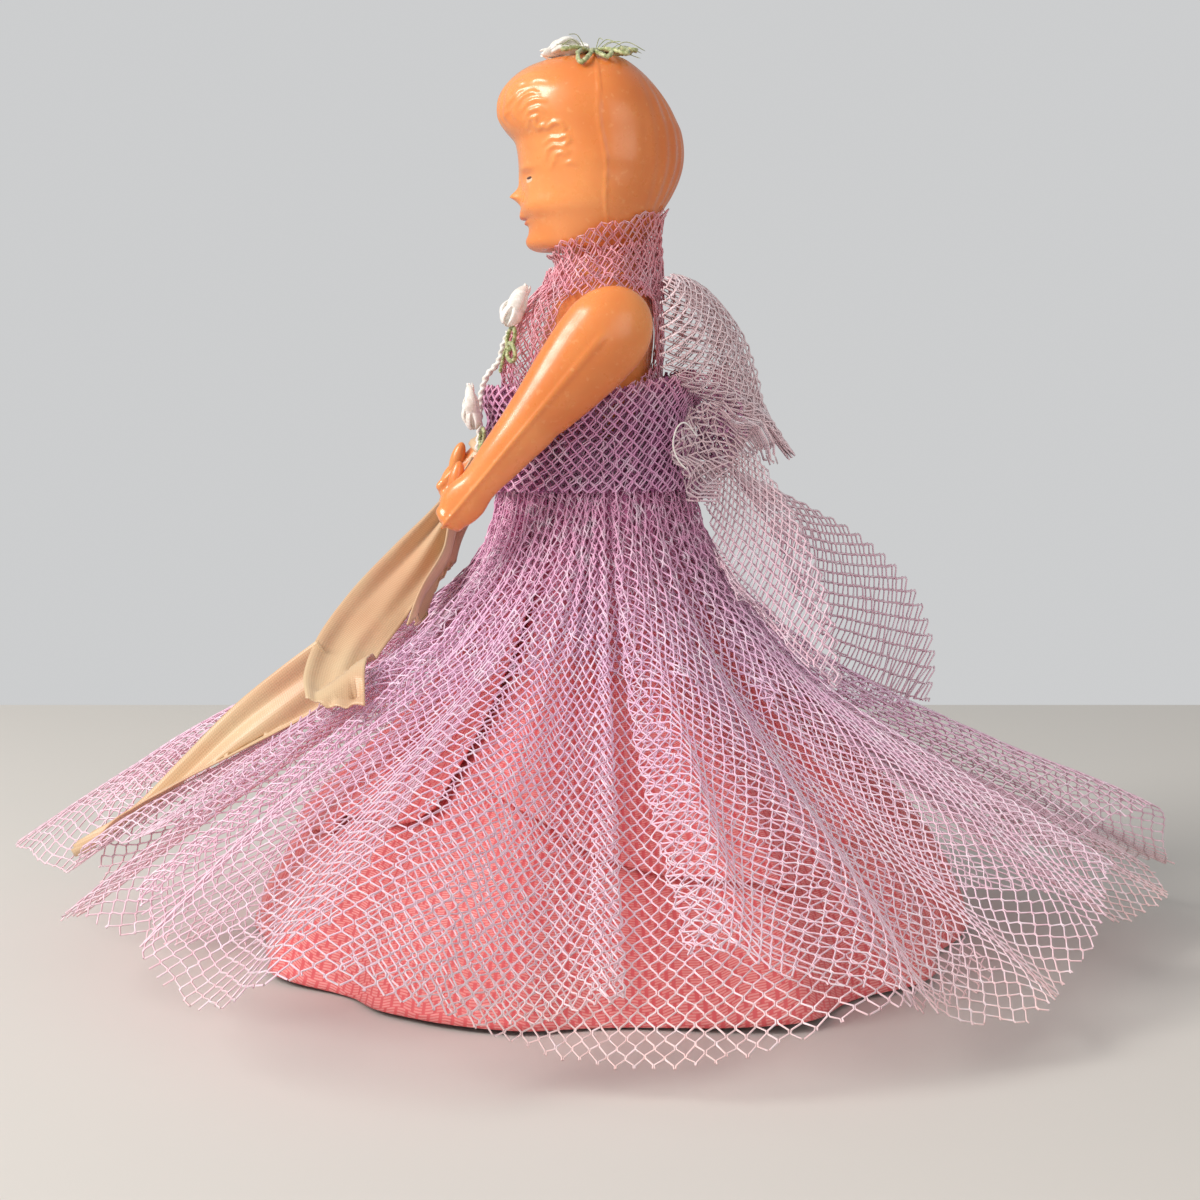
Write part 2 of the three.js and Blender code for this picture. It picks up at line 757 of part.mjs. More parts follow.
function addCollar() {
  const geometry = sheet(24, 3, clothThickness, true, (u, v, side) => {
    const turn = u * Math.PI * 2;
    const behind = (1 - Math.cos(turn)) / 2;
    const low = collar.foot - collar.footDrop * behind;
    const high = collar.frontTop + collar.backRise * behind ** 1.3;
    const spread = 1 - v;
    const halfWidth = collar.halfWidth + collar.sideSpread * spread + side;
    const front = collar.front + collar.frontSpread * spread + side;
    const back = collar.back + collar.backSpread * spread * behind + side;
    const radius = ringRadius({ halfWidth, front, back, turn });
    const height = THREE.MathUtils.lerp(high, low, v);
    return new THREE.Vector3(radius * Math.sin(turn), -radius * Math.cos(turn), height);
  });
  return addMesh(root, 'net_collar', geometry, colours.net, gloss.net);
}

// The sash has soft lengthwise pleats, flatter at her sides where the arms swing past.
function addSash() {
  const geometry = sheet(26, 7, clothThickness, true, (u, v, side) => {
    const turn = u * Math.PI * 2;
    const waist = waistPoint(sashLayer, turn);
    const pleat = sashPleat * (1 - Math.cos(Math.PI * 4 * v + Math.sin(turn)));
    const flare = v * v + pleat * (0.1 + 0.9 * Math.cos(turn) ** 2) + side;
    const halfWidth = waist.halfWidth + flare;
    const radius = ringRadius({ halfWidth, front: waist.front + flare, back: waist.back + flare, turn });
    const height = waistHeight + sashHeight - sashDrop - v * sashHeight;
    return new THREE.Vector3(radius * Math.sin(turn), -radius * Math.cos(turn), height);
  });
  return addMesh(root, 'net_sash', geometry, colours.net, gloss.net);
}

function knotPlace() {
  const { back } = waistPoint(sashLayer, 0);
  const deepestPleat = 2 * sashPleat + clothThickness;
  return new THREE.Vector3(0, back + deepestPleat + seatGap + knotRadius, waistHeight - 0.5);
}

function addKnot() {
  const knot = new THREE.SphereGeometry(knotRadius, 10, 7);
  knot.scale(1, 1, knotStretch);
  const at = knotPlace();
  knot.translate(at.x, at.y, at.z);
  return addMesh(root, 'bow_knot', bareGeometry(knot), colours.net, gloss.net);
}

// A bow end opens like a bell from the knot to the side, with a wavy cut rim.
const bowThroat = 1.1;

function addBowEnd(name, side) {
  const at = knotPlace();
  const geometry = sheet(16, 3, clothThickness, true, (u, v, offset) => {
    const angle = u * Math.PI * 2;
    const wave = 1 + 0.16 * v * Math.cos(4 * angle + 0.6);
    const radius = THREE.MathUtils.lerp(bowThroat, bowRadius, v ** 0.8) * wave + offset;
    const x = side * (knotRadius + 2 * seatGap + bowReach * v);
    const y = at.y + 1.2 * v + radius * Math.cos(angle) * 0.85;
    return new THREE.Vector3(x, y, at.z - 2.5 * v + radius * Math.sin(angle));
  });
  return addMesh(root, name, geometry, colours.net, gloss.net);
}

// The veil puffs out from the nape and comes back in over the knot. Its line is given as the level on
// the torso and the share of its depth.
const veilLine = [[1.825, 0.1], [1.778, 0.45], [1.54, 0.85], [1.302, 1.04]];

function veilPath() {
  const at = knotPlace();
  const points = veilLine.map(([level, out]) => (
    new THREE.Vector3(0, waistBack + veilDepth * out, torsoLevel(level))
  ));
  const end = new THREE.Vector3(0, at.y + 0.6, at.z + knotRadius * knotStretch + 2 * seatGap);
  return new THREE.CatmullRomCurve3(points.concat(end));
}

// How far off her back the veil's side edges hang, how far they come in over the knot, and its folds.
const veilEdgeOut = 1.8;
const veilGather = 0.72;
const veilRipple = 0.5;

// A sheet whose thickness lies to both sides of the surface that placeAt(u, v) gives.
function skin(columns, rows, thickness, placeAt) {
  const step = 0.01;
  return sheet(columns, rows, thickness, false, (u, v, side) => {
    const across = placeAt(Math.min(1, u + step), v).sub(placeAt(Math.max(0, u - step), v));
    const down = placeAt(u, Math.min(1, v + step)).sub(placeAt(u, Math.max(0, v - step)));
    const normal = down.cross(across).normalize();
    return placeAt(u, v).addScaledVector(normal, side);
  });
}

// From above the veil is a U: its middle stands out along its line and its sides come back to her.
function addVeil() {
  const path = veilPath();
  const geometry = skin(10, 7, clothThickness, (u, v) => {
    const point = path.getPoint(v);
    const across = u * 2 - 1;
    const puff = Math.sin(Math.PI * v);
    const spread = 0.7 + 0.3 * Math.sin(Math.PI * Math.min(1, v * 1.4));
    const gather = smooth(0.6, 1, v);
    const edge = THREE.MathUtils.lerp(waistBack + veilEdgeOut, point.y, smooth(0.5, 1, v));
    const outward = 1 - Math.abs(across) ** 2.4;
    const ripple = veilRipple * puff * Math.cos(across * 9);
    point.y = THREE.MathUtils.lerp(Math.min(edge, point.y), point.y, outward) + ripple;
    point.x = across * veilHalfWidth * spread * (1 - veilGather * gather);
    return point;
  });
  return addMesh(root, 'back_veil', geometry, colours.net, gloss.net);
}

// Height of the highest of some meshes under a point, or -1 where nothing lies there.
const ray = new THREE.Raycaster();

function heightUnder(meshes, x, y, from) {
  ray.set(new THREE.Vector3(x, y, from), new THREE.Vector3(0, 0, -1));
  const hits = ray.intersectObjects(meshes, false);
  return hits.length > 0 ? hits[0].point.z : -1;
}

// The same for the ground within groundReach to either side, so that a band clears a panel's cut edge.
function groundUnder(meshes, x, y) {
  const places = [x - groundReach, x, x + groundReach];
  return Math.max(...places.map((place) => heightUnder(meshes, place, y, waistHeight)));
}

function frontOf(meshes, x, z) {
  ray.set(new THREE.Vector3(x, -skirtFrontReach, z), new THREE.Vector3(0, 1, 0));
  const hits = ray.intersectObjects(meshes, false);
  return hits.length > 0 ? hits[0].point.y : 0;
}

// A band of cloth or ribbon along chosen points. Each width is the direction and half width of the band
// at its point, and facing is roughly the way its face looks. Where it would pass through the cloth
// below, it lies on it.
function bandPoint(path, widths, u, v) {
  const point = path.getPoint(v);
  return point.addScaledVector(widths.getPoint(v), u * 2 - 1);
}

function band({ points, widths, facing, thickness, across, along, under, clearance, ripple }) {
  const path = new THREE.CatmullRomCurve3(points);
  const width = new THREE.CatmullRomCurve3(widths);
  const step = 0.01;
  return sheet(across, along, thickness, false, (u, v, side) => {
    const at = bandPoint(path, width, u, v);
    const ahead = bandPoint(path, width, u, Math.min(1, v + step));
    const alongStep = ahead.sub(bandPoint(path, width, u, Math.max(0, v - step)));
    const normal = alongStep.cross(width.getPoint(v)).normalize();
    const outward = normal.dot(facing) < 0 ? -1 : 1;
    at.addScaledVector(normal, outward * ripple * v * Math.cos(u * 9));
    at.z = Math.max(at.z, groundUnder(under, at.x, at.y) + clearance);
    return at.addScaledVector(normal, outward * side);
  });
}

function scaled(rows, x, y, z) {
  return rows.map((row) => new THREE.Vector3(row[0] * x, row[1] * y, row[2] * z));
}

// Bow tails: places as shares of the bow's reach, the skirt's back reach and the waist's height, and
// widths as shares of the bow's radius.
const nearTail = {
  places: [[0.533, 0.262, 0.81], [0.8, 0.299, 0.69], [0.933, 0.32, 0.571], [1, 0.335, 0.464]],
  widths: [[0.27, 0, 0], [0.3, 0.5, 0], [0.35, 0.95, 0.1], [0.35, 1.2, 0.13], [0.3, 1.15, 0.2]],
};
const farTail = {
  places: [
    [-0.4, 0.34, 0.81], [-0.533, 0.4, 0.69], [-0.6, 0.46, 0.585], [-0.62, 0.5, 0.5], [-0.62, 0.52, 0.42],
  ],
  widths: [
    [-0.27, 0, 0], [-0.3, 0.45, 0.3], [-0.25, 0.95, 0.6], [-0.2, 1.2, 0.5], [-0.15, 1.2, 0.25],
    [-0.1, 1, 0.1],
  ],
};

function bowTail({ places, widths }, side, along, nets) {
  const at = knotPlace();
  const below = at.z - knotRadius * knotStretch - seatGap;
  const start = new THREE.Vector3(side * 2.5, at.y + 1.5, below);
  return band({
    points: [start, ...scaled(places, bowReach, skirtBackReach, waistHeight)],
    widths: scaled(widths, bowRadius, bowRadius, bowRadius),
    facing: new THREE.Vector3(side, 0, 1),
    thickness: clothThickness,
    across: 5,
    along,
    under: nets,
    clearance: bowTailClearance,
    ripple: 0.9,
  });
}

function addBowTails(nets) {
  addMesh(root, 'bow_tail_left', bowTail(nearTail, 1, 7, nets), colours.net, gloss.net);
  addMesh(root, 'bow_tail_right', bowTail(farTail, -1, 8, nets), colours.net, gloss.net);
}

// Ribbon: wound round her right wrist, one strand in front, one behind, and a long tail on the skirt.
function addRibbonKnot(arm) {
  const [breadth, thickness, lean] = sectionAt(armShape, wristPlace);
  const clearance = wristSlack + ribbonThickness / 2;
  const geometry = sheet(16, 2, ribbonThickness, true, (u, v, side) => {
    const angle = u * Math.PI * 2;
    const x = (thickness * armHalfThickness + clearance + side) * Math.sin(angle);
    const y = (breadth * armHalfBreadth + clearance + side) * -Math.cos(angle);
    const z = -armLength * wristPlace + ribbonWidth * 0.25 * (0.5 - v);
    return new THREE.Vector3(lean - armCentreX + x, y, z);
  });
  addMesh(arm, 'ribbon_knot', geometry, colours.ribbon, gloss.ribbon);
}

// The place beside her right wrist where the strands leave the wound ribbon.
function wristSide() {
  const [, thickness, lean] = sectionAt(armShape, wristPlace);
  const angle = THREE.MathUtils.degToRad(rightArmAngle);
  const reach = thickness * armHalfThickness + wristSlack + ribbonThickness + seatGap;
  return new THREE.Vector3(
    lean - armCentreX + reach,
    seamY - armLength * wristPlace * Math.sin(angle),
    shoulderHeight - armLength * wristPlace * Math.cos(angle),
  );
}

// Ribbon lines: places as shares of the arms' distance from the middle, the skirt's front reach and the
// waist's height, and widths as shares of half the ribbon's width.
const frontStrand = {
  places: [
    [-0.341, -0.337, 0.821], [0.146, -0.4, 0.726], [0.634, -0.432, 0.643], [0.976, -0.432, 0.536],
    [1.122, -0.421, 0.44],
  ],
  widths: [
    [0, 0.19, 0.15], [0.48, 0.48, 0.19], [0.57, 0.67, 0.48], [0.48, 0.86, 0.42], [0.57, 1.24, 0],
    [0.76, 1.14, 0],
  ],
};
const backStrand = {
  places: [[-0.293, -0.258, 0.821], [0.098, -0.274, 0.738], [0.488, -0.305, 0.679], [0.732, -0.316, 0.619]],
  widths: [[0, 0.15, -0.15], [0.38, 0, 0.57], [0.57, 0, 0.69], [0.76, 0, 0.61], [0.84, -0.19, 0.38]],
};
const longTail = {
  places: [
    [0.829, -0.532, 0.238], [0.829, -0.611, 0.119], [0.854, -0.705, 0.06], [0.829, -0.8, 0.06],
    [0.732, -0.905, 0.06],
  ],
  widths: [[0.9, 0.29, 0], [0.9, 0.19, 0], [1, 0, 0], [0.9, -0.19, 0], [0.25, -0.08, 0]],
};

function ribbonBand({ places, widths }, start, along, nets, clearance) {
  const half = ribbonWidth / 2;
  return band({
    points: [...start, ...scaled(places, armCentreX, skirtFrontReach, waistHeight)],
    widths: scaled(widths, half, half, half),
    facing: new THREE.Vector3(0, 0, 1),
    thickness: ribbonThickness,
    across: 3,
    along,
    under: nets,
    clearance,
    ripple: 0.2,
  });
}

function addRibbonStrands(nets) {
  const inFront = wristSide().add(new THREE.Vector3(0, -1.2, -0.4));
  const behind = wristSide().add(new THREE.Vector3(0, 1.4, -1.4));
  const front = ribbonBand(frontStrand, [inFront], 11, nets, strandClearance);
  const back = ribbonBand(backStrand, [behind], 8, nets, strandClearance);
  const tail = ribbonBand(longTail, [], 10, nets, tailClearance);
  addMesh(root, 'ribbon_front', front, colours.ribbon, gloss.ribbon);
  addMesh(root, 'ribbon_back', back, colours.ribbon, gloss.ribbon);
  addMesh(root, 'ribbon_tail', tail, colours.ribbon, gloss.ribbon);
}

// Trims. A rosebud is drawn to a point and has five furled petals. It is made along +Z.
const budSections = [[0, 0.4], [0.15, 0.8], [0.4, 1], [0.65, 0.9], [0.85, 0.6], [1, 0.25]];
const petalSwell = 0.12;

function rosebud(length, radius) {
  const rings = budSections.map(([share, wide]) => Array.from({ length: 10 }, (_, i) => {
    const angle = i / 10 * Math.PI * 2;
    const reach = wide * radius * (1 + petalSwell * Math.cos(5 * angle + share * 4));
    return new THREE.Vector3(reach * Math.cos(angle), reach * Math.sin(angle), (share - 0.5) * length);
  }));
  return loft(rings);
}

function leafLoops(turns) {
  const loops = turns.map((turn) => {
    const loop = new THREE.TorusGeometry(leafLength / 2, leafThickness, 4, 9);
    loop.scale(0.62, 1, 1);
    loop.translate(0, leafLength * 0.46, 0);
    loop.rotateZ(turn);
    return loop;
  });
  return join(...loops);
}

function lay(geometry, rotation, place) {
  const moved = bareGeometry(geometry);
  moved.rotateX(rotation[0]);
  moved.rotateY(rotation[1]);
  moved.rotateZ(rotation[2]);
  moved.translate(place[0], place[1], place[2]);
  return moved;
}

// A place on the front of some cloth, standing off it sideways and forwards from her middle.
function seatOn(cloth, x, height, stand) {
  const front = frontOf(cloth, x, height);
  const out = new THREE.Vector2(x, front).setLength(stand);
  return new THREE.Vector3(x + out.x, front + out.y, height);
}

// The braided stem runs from her left breast down the front of the bodice and over the sash. Its places
// are the level on the torso and the distance to her left.
const stemPlaces = [
  [1.56, 5], [1.48, 4.3], [1.413, 3.7], [1.317, 3], [1.222, 2.4], [1.127, 1.9], [1.032, 1.5], [0.917, 1.2],
];
const stemStand = stemRadius + seatGap + 0.25;

function addStem(cloth) {
  const points = stemPlaces.map(([level, x]) => {
    const height = torsoLevel(level);
    const here = seatOn(cloth, x, height, stemStand);
    const below = seatOn(cloth, x, height - 4 * stemRadius, stemStand);
    return here.setY(Math.min(here.y, below.y));
  });
  const section = new THREE.Shape();
  section.absarc(0, 0, stemRadius, 0, Math.PI * 2);
  const path = new THREE.CatmullRomCurve3(points);
  const stem = new THREE.ExtrudeGeometry(section, { steps: 18, extrudePath: path, curveSegments: 3 });
  addMesh(root, 'trim_stem', bareGeometry(stem), colours.white, gloss.trim);
}

// Buds and leaves: distance to her left, level on the torso, tilt, turn, and how far they stand off.
function addBodiceTrim(cloth) {
  addStem(cloth);
  const budStand = budRadius * (1 + petalSwell) + 2 * seatGap;
  const leafStand = leafThickness + seatGap + 0.5;
  const bud = (name, x, level, tilt, turn, stand) => {
    const place = seatOn(cloth, x, torsoLevel(level), stand).toArray();
    const geometry = lay(rosebud(budLength, budRadius), [tilt, 0, turn], place);
    addMesh(root, name, geometry, colours.white, gloss.trim);
  };
  const leaves = (name, x, level, turn, turns) => {
    const place = seatOn(cloth, x, torsoLevel(level), leafStand).toArray();
    const geometry = lay(leafLoops(turns), [Math.PI / 2, 0, turn], place);
    addMesh(root, name, geometry, colours.green, gloss.trim);
  };
  bud('rosebud_upper', 6.2, 1.7, -0.55, 0.6, budStand + 0.1);
  bud('rosebud_lower', 5.4, 1.175, 0.1, 0.3, budStand + 0.4);
  leaves('leaf_loops_upper', 6.4, 1.46, 0.45, [-0.7, -1.9]);
  leaves('leaf_loops_lower', 4.6, 0.979, 0.25, [-1, -2.2]);
}

// Two buds and a leaf spray lie on the crown of the head.
function addHairFlowers(shell) {
  const aboveHead = chinHeight + headHeight * 1.5;
  const top = (x, y, stand) => [x, y, heightUnder(shell, x, y, aboveHead) + stand];
  const stand = budRadius * 1.1 + seatGap + 0.15;
  const leafStand = leafThickness + seatGap + 0.5;
  const leftBud = lay(rosebud(hairBudLength, budRadius), [1.37, 0, 0.4], top(2.5, -6.5, stand + 0.4));
  const rightBud = lay(rosebud(hairBudLength, budRadius * 0.9), [1.57, 0, 1.5], top(-3.5, -3, stand + 0.2));
  const leaves = lay(leafLoops([0.4, 1.6, -0.9]), [0, 0, 0.2], top(1.5, 0.2, leafStand));
  addMesh(root, 'hair_bud_left', leftBud, colours.white, gloss.trim);
  addMesh(root, 'hair_bud_right', rightBud, colours.white, gloss.trim);
  addMesh(root, 'hair_leaves', leaves, colours.green, gloss.trim);
}

const shells = addBody();
addElastic();
addArm('left', 1, leftArmAngle);
const rightArm = addArm('right', -1, rightArmAngle);
addSatinUnderskirt();
addSatinOverskirt();
const innerNets = addNets('inner_net', innerNetPanels, 3, 0, 0);
const outerNets = addNets('outer_net', outerNetPanels, 4, 1, netOpenRows);
const nets = innerNets.concat(outerNets);
const bodice = addBodice();
addCollar();
const sash = addSash();
addKnot();
addBowEnd('bow_end_left', 1);
addBowEnd('bow_end_right', -1);
addVeil();
addBowTails(nets);
addRibbonKnot(rightArm);
addRibbonStrands(nets);
addBodiceTrim([bodice, sash]);
addHairFlowers(shells);

export default root;
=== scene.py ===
import math

import bmesh
import bpy
import numpy as np
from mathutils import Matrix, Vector
from mathutils.bvhtree import BVHTree


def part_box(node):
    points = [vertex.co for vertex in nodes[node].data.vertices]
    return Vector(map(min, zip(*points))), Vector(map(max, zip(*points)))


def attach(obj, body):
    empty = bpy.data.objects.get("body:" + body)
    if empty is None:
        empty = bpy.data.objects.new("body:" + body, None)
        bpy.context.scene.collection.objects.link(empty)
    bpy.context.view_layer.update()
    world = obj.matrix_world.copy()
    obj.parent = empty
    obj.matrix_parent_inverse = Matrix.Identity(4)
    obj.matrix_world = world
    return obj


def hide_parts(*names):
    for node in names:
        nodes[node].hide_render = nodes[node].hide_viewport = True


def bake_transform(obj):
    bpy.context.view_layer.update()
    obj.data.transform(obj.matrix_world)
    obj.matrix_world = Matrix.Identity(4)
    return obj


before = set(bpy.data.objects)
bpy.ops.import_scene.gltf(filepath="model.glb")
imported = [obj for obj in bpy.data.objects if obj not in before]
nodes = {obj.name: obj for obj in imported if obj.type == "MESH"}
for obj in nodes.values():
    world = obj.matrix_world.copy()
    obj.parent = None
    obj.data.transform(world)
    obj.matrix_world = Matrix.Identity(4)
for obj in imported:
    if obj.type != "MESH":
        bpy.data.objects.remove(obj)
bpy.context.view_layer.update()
scene = bpy.context.scene
mm = 0.001
print("frame loaded:", len(nodes), "nodes")

# the photograph's view: from her left, a little above the waist
view = {"distance": 325, "height": 88, "lookDown": 5.5, "focal": 57.5, "sensor": 36}

camera = bpy.data.objects.new("camera", bpy.data.cameras.new("camera"))
scene.collection.objects.link(camera)
camera.data.lens = view["focal"]
camera.data.sensor_width = view["sensor"]
camera.data.clip_start = 0.01
camera.location = (view["distance"] * mm, 0, view["height"] * mm)
camera.rotation_euler = (math.radians(90 - view["lookDown"]), 0, math.radians(90))
scene.camera = camera
scene.view_settings.view_transform = "Standard"
print("camera placed")


# a socket that Python sums can be written on, and the tree that it belongs to
class Wire:
    def __init__(self, kit, socket):
        self.kit = kit
        self.socket = socket

    def maths(self, operation, *values):
        return self.kit.add("ShaderNodeMath", {"operation": operation}, dict(enumerate(values)))

    def __rsub__(self, other):
        return self.maths("SUBTRACT", other, self)

    def ease(self, low, high, start=0.0, end=1.0):
        values = {"Value": self, "From Min": low, "From Max": high, "To Min": start, "To Max": end}
        return self.kit.add("ShaderNodeMapRange", {"interpolation_type": "SMOOTHSTEP"}, values)


sums = {
    "__add__": "ADD", "__sub__": "SUBTRACT", "__mul__": "MULTIPLY", "__rmul__": "MULTIPLY",
    "__truediv__": "DIVIDE", "__mod__": "FLOORED_MODULO", "__lt__": "LESS_THAN", "__gt__": "GREATER_THAN",
    "floor": "FLOOR", "size": "ABSOLUTE"}
for method, operation in sums.items():
    setattr(Wire, method, lambda self, *others, operation=operation: self.maths(operation, self, *others))


class Kit:
    def __init__(self, tree):
        self.tree = tree

    def add(self, kind, settings=None, values=None, output=0):
        made = self.tree.nodes.new(kind)
        for key, value in (settings or {}).items():
            setattr(made, key, value)
        for key, value in (values or {}).items():
            self.put(made.inputs[key], value)
        return Wire(self, made.outputs[output])

    def put(self, socket, value):
        if isinstance(value, Wire):
            self.tree.links.new(value.socket, socket)
        else:
            socket.default_value = value

    # each colour is a wire, or red, green and blue from 0 to 255
    def mix(self, factor, first, second):
        first, second = [colour(*c) if isinstance(c, tuple) else c for c in (first, second)]
        return self.add("ShaderNodeMix", {"data_type": "RGBA"}, {0: factor, 6: first, 7: second}, 2)

    def noise(self, place, scale, detail=3, rough=0.5):
        return self.add("ShaderNodeTexNoise", None,
                        {"Vector": place, "Scale": scale, "Detail": detail, "Roughness": rough})

    def xyz(self, vector):
        parts = self.add("ShaderNodeSeparateXYZ", None, {0: vector}).socket.node
        return [Wire(self, output) for output in parts.outputs]

    def objectPlace(self):
        return self.add("ShaderNodeTexCoord", output="Object")


def colour(red, green, blue):
    parts = [c / 255 for c in (red, green, blue)]
    return [c / 12.92 if c <= 0.04045 else ((c + 0.055) / 1.055) ** 2.4 for c in parts] + [1.0]


def newMaterial(name, **fixed):
    material = bpy.data.materials.new(name)
    material.use_nodes = True
    shader = material.node_tree.nodes["Principled BSDF"]
    for key, value in fixed.items():
        shader.inputs[key.replace("_", " ")].default_value = value
    return material, Kit(material.node_tree), shader


def bumped(kit, shader, height, strength, distance):
    bump = kit.add("ShaderNodeBump", None, {"Strength": strength, "Distance": distance, "Height": height})
    kit.put(shader.inputs["Normal"], bump)


# moulded plastic, aged to peach, a little see-through, with painted eyes and lips, and painted shade at the
# back of the head
plasticLook = {
    "base": (244, 158, 90), "deep": (228, 130, 62), "rear": (214, 104, 44), "pale": (250, 184, 124),
    "lip": (216, 92, 62), "eye": (84, 46, 26), "white": (244, 214, 186), "roughness": (0.22, 0.46),
    "eyeOut": 0.0053, "eyeHeight": 0.1268, "mouthHeight": 0.1203}


def makePlastic():
    look = plasticLook
    material, kit, shader = newMaterial("moulded peach plastic", IOR=1.5, Subsurface_Weight=0.25,
                                        Subsurface_Scale=0.003, Coat_Roughness=0.12)
    shader.inputs["Subsurface Radius"].default_value = (1.0, 0.45, 0.2)
    place = kit.objectPlace()
    x, y, z = kit.xyz(place)
    cloud = kit.noise(place, 60).ease(0.3, 0.7)
    tone = kit.mix(cloud, look["base"], look["deep"])
    # painted shade: the back of the head is painted darker, as it lies away from the light
    tone = kit.mix(y.ease(-0.002, 0.014) * (z > 0.112) * 0.6, tone, look["rear"])
    speck = kit.noise(place, 900, 2, 0.5).ease(0.62, 0.74)
    tone = kit.mix(speck * 0.3, tone, look["pale"])
    painted = (y < 0) * (z > 0.116)
    across = (x.size() - look["eyeOut"]) / 0.0010
    up = (z - look["eyeHeight"]) / 0.00026
    lid = (across * across + up * up).ease(0.6, 1.1, 1, 0)
    whiteUp = (z - look["eyeHeight"] + 0.0003) / 0.0005
    eyeWhite = (across * across * 0.8 + whiteUp * whiteUp).ease(0.8, 1.1, 1, 0)
    mouthAcross = x / 0.0026
    mouthUp = (z - look["mouthHeight"]) / 0.0009
    mouth = (mouthAcross * mouthAcross + mouthUp * mouthUp).ease(0.5, 1.2, 1, 0)
    tone = kit.mix(mouth * painted * 0.6, tone, look["lip"])
    tone = kit.mix(eyeWhite * painted * 0.7, tone, look["white"])
    tone = kit.mix(lid * painted, tone, look["eye"])
    kit.put(shader.inputs["Base Color"], tone)
    haze = kit.noise(place, 240, 4, 0.6)
    kit.put(shader.inputs["Roughness"], haze.ease(0.3, 0.75, *look["roughness"]))
    kit.put(shader.inputs["Coat Weight"], kit.noise(place, 35, 2, 0.5).ease(0.3, 0.7, 0.15, 0.5))
    bumped(kit, shader, haze, 0.06, 0.0004)
    return material


# net: the first colour, then each next one with the heights (metres) between which it takes over
netLooks = {
    "skirt": [(236, 168, 204), (0.074, 0.05, (244, 198, 228)), (0.05, 0.02, (248, 210, 226)),
              (0.02, 0.004, (248, 214, 210))],
    "waist": [(230, 164, 204), (0.088, 0.1, (244, 170, 186)), (0.108, 0.118, (244, 158, 166))],
    "shade": [(166, 92, 138), (0.094, 0.104, (206, 112, 132))],
    "pale": [(255, 226, 230), (0.085, 0.06, (250, 212, 226))]}


def makeNetLook(name, look, shine=0.6):
    material, kit, shader = newMaterial(name, Roughness=0.38, Sheen_Weight=0.5, Sheen_Roughness=0.35)
    place = kit.objectPlace()
    z = kit.xyz(place)[2]
    tone = netLooks[look][0]
    for high, low, shade in netLooks[look][1:]:
        tone = kit.mix(z.ease(high, low), tone, shade)
    glint = kit.noise(place, 420, 2, 0.6).ease(0.46, 0.72)
    tone = kit.mix(glint * shine, tone, (255, 244, 252))
    kit.put(shader.inputs["Base Color"], tone)
    return material


# satin with short floats in staggered groups of four, read from the cloth's own measure in millimetres, with
# painted shade towards the waist
satinLook = {
    "ground": (240, 112, 116), "float": (254, 166, 162), "gap": (222, 78, 84), "waist": (216, 128, 176),
    "groupWidth": 2.1, "groupHeight": 1.44, "floats": 4}


def makeSatin():
    look = satinLook
    material, kit, shader = newMaterial("coral satin", Sheen_Weight=0.2, Sheen_Roughness=0.35,
                                        Anisotropic=0.3)
    u, v = kit.xyz(kit.add("ShaderNodeUVMap", {"uv_map": "cloth"}))[:2]
    row = (v / look["groupHeight"]).floor()
    along = (u / look["groupWidth"] + row * 0.5) % 1.0
    window = (along - 0.5).size().ease(0.3, 0.42, 1, 0)
    lines = ((v * (look["floats"] / look["groupHeight"])) % 1.0 - 0.5).size().ease(0.2, 0.42, 1, 0)
    floats = window * lines
    tone = kit.mix(floats, look["ground"], look["float"])
    tone = kit.mix((1 - window) * 0.3, tone, look["gap"])
    place = kit.objectPlace()
    tone = kit.mix(kit.noise(place, 45).ease(0.3, 0.7) * 0.2, tone, look["gap"])
    # painted shade: the satin is painted lilac and darker towards the waist, where it lies in the shade and
    # tint of the many nets over it
    tone = kit.mix(kit.xyz(place)[2].ease(0.046, 0.074), tone, look["waist"])
    kit.put(shader.inputs["Base Color"], tone)
    kit.put(shader.inputs["Roughness"], floats.ease(0, 1, 0.55, 0.34))
    bumped(kit, shader, floats, 0.35, 0.0002)
    return material


ribbonLook = {"base": (212, 182, 142), "warm": (214, 164, 126), "pale": (230, 206, 168), "rib": 0.4}


def makeRibbon():
    look = ribbonLook
    material, kit, shader = newMaterial("peach ribbon", Roughness=0.4, Sheen_Weight=0.25, Anisotropic=0.4)
    u, v = kit.xyz(kit.add("ShaderNodeUVMap", {"uv_map": "cloth"}))[:2]
    rib = ((v / look["rib"]) % 1.0 - 0.5).size().ease(0.1, 0.5)
    thread = ((u / look["rib"]) % 1.0 - 0.5).size().ease(0.15, 0.5)
    tone = kit.mix(kit.noise(kit.objectPlace(), 70).ease(0.3, 0.7), look["base"], look["warm"])
    tone = kit.mix(rib * 0.3 + thread * 0.15, tone, look["pale"])
    kit.put(shader.inputs["Base Color"], tone)
    bumped(kit, shader, rib * 0.7 + thread * 0.5, 0.25, 0.0001)
    return material


def makeThread(name, base, pale):
    material, kit, shader = newMaterial(name, Roughness=0.38, Sheen_Weight=0.4)
    place = kit.objectPlace()
    tone = kit.mix(kit.noise(place, 1400, 2, 0.6).ease(0.35, 0.7), base, pale)
    kit.put(shader.inputs["Base Color"], tone)
    bumped(kit, shader, kit.noise(place, 2600, 2, 0.6), 0.3, 0.0002)
    return material


plastic = makePlastic()
netFabric = makeNetLook("lilac net", "skirt")
upperNet = makeNetLook("lilac net at the waist", "waist", 0.4)
shadeNet = makeNetLook("shaded net", "shade", 0.0)
paleNet = makeNetLook("pale net", "pale", 0.7)
satin = makeSatin()
ribbonSatin = makeRibbon()
whiteThread = makeThread("pearly thread", (236, 230, 220), (255, 252, 248))
greenThread = makeThread("green thread", (136, 148, 84), (212, 212, 160))
elasticCord = makeThread("covered elastic", (214, 204, 186), (236, 230, 216))
print("materials made")


def smooth(low, high, value):
    share = np.clip((value - low) / (high - low), 0, 1)
    return share * share * (3 - 2 * share)


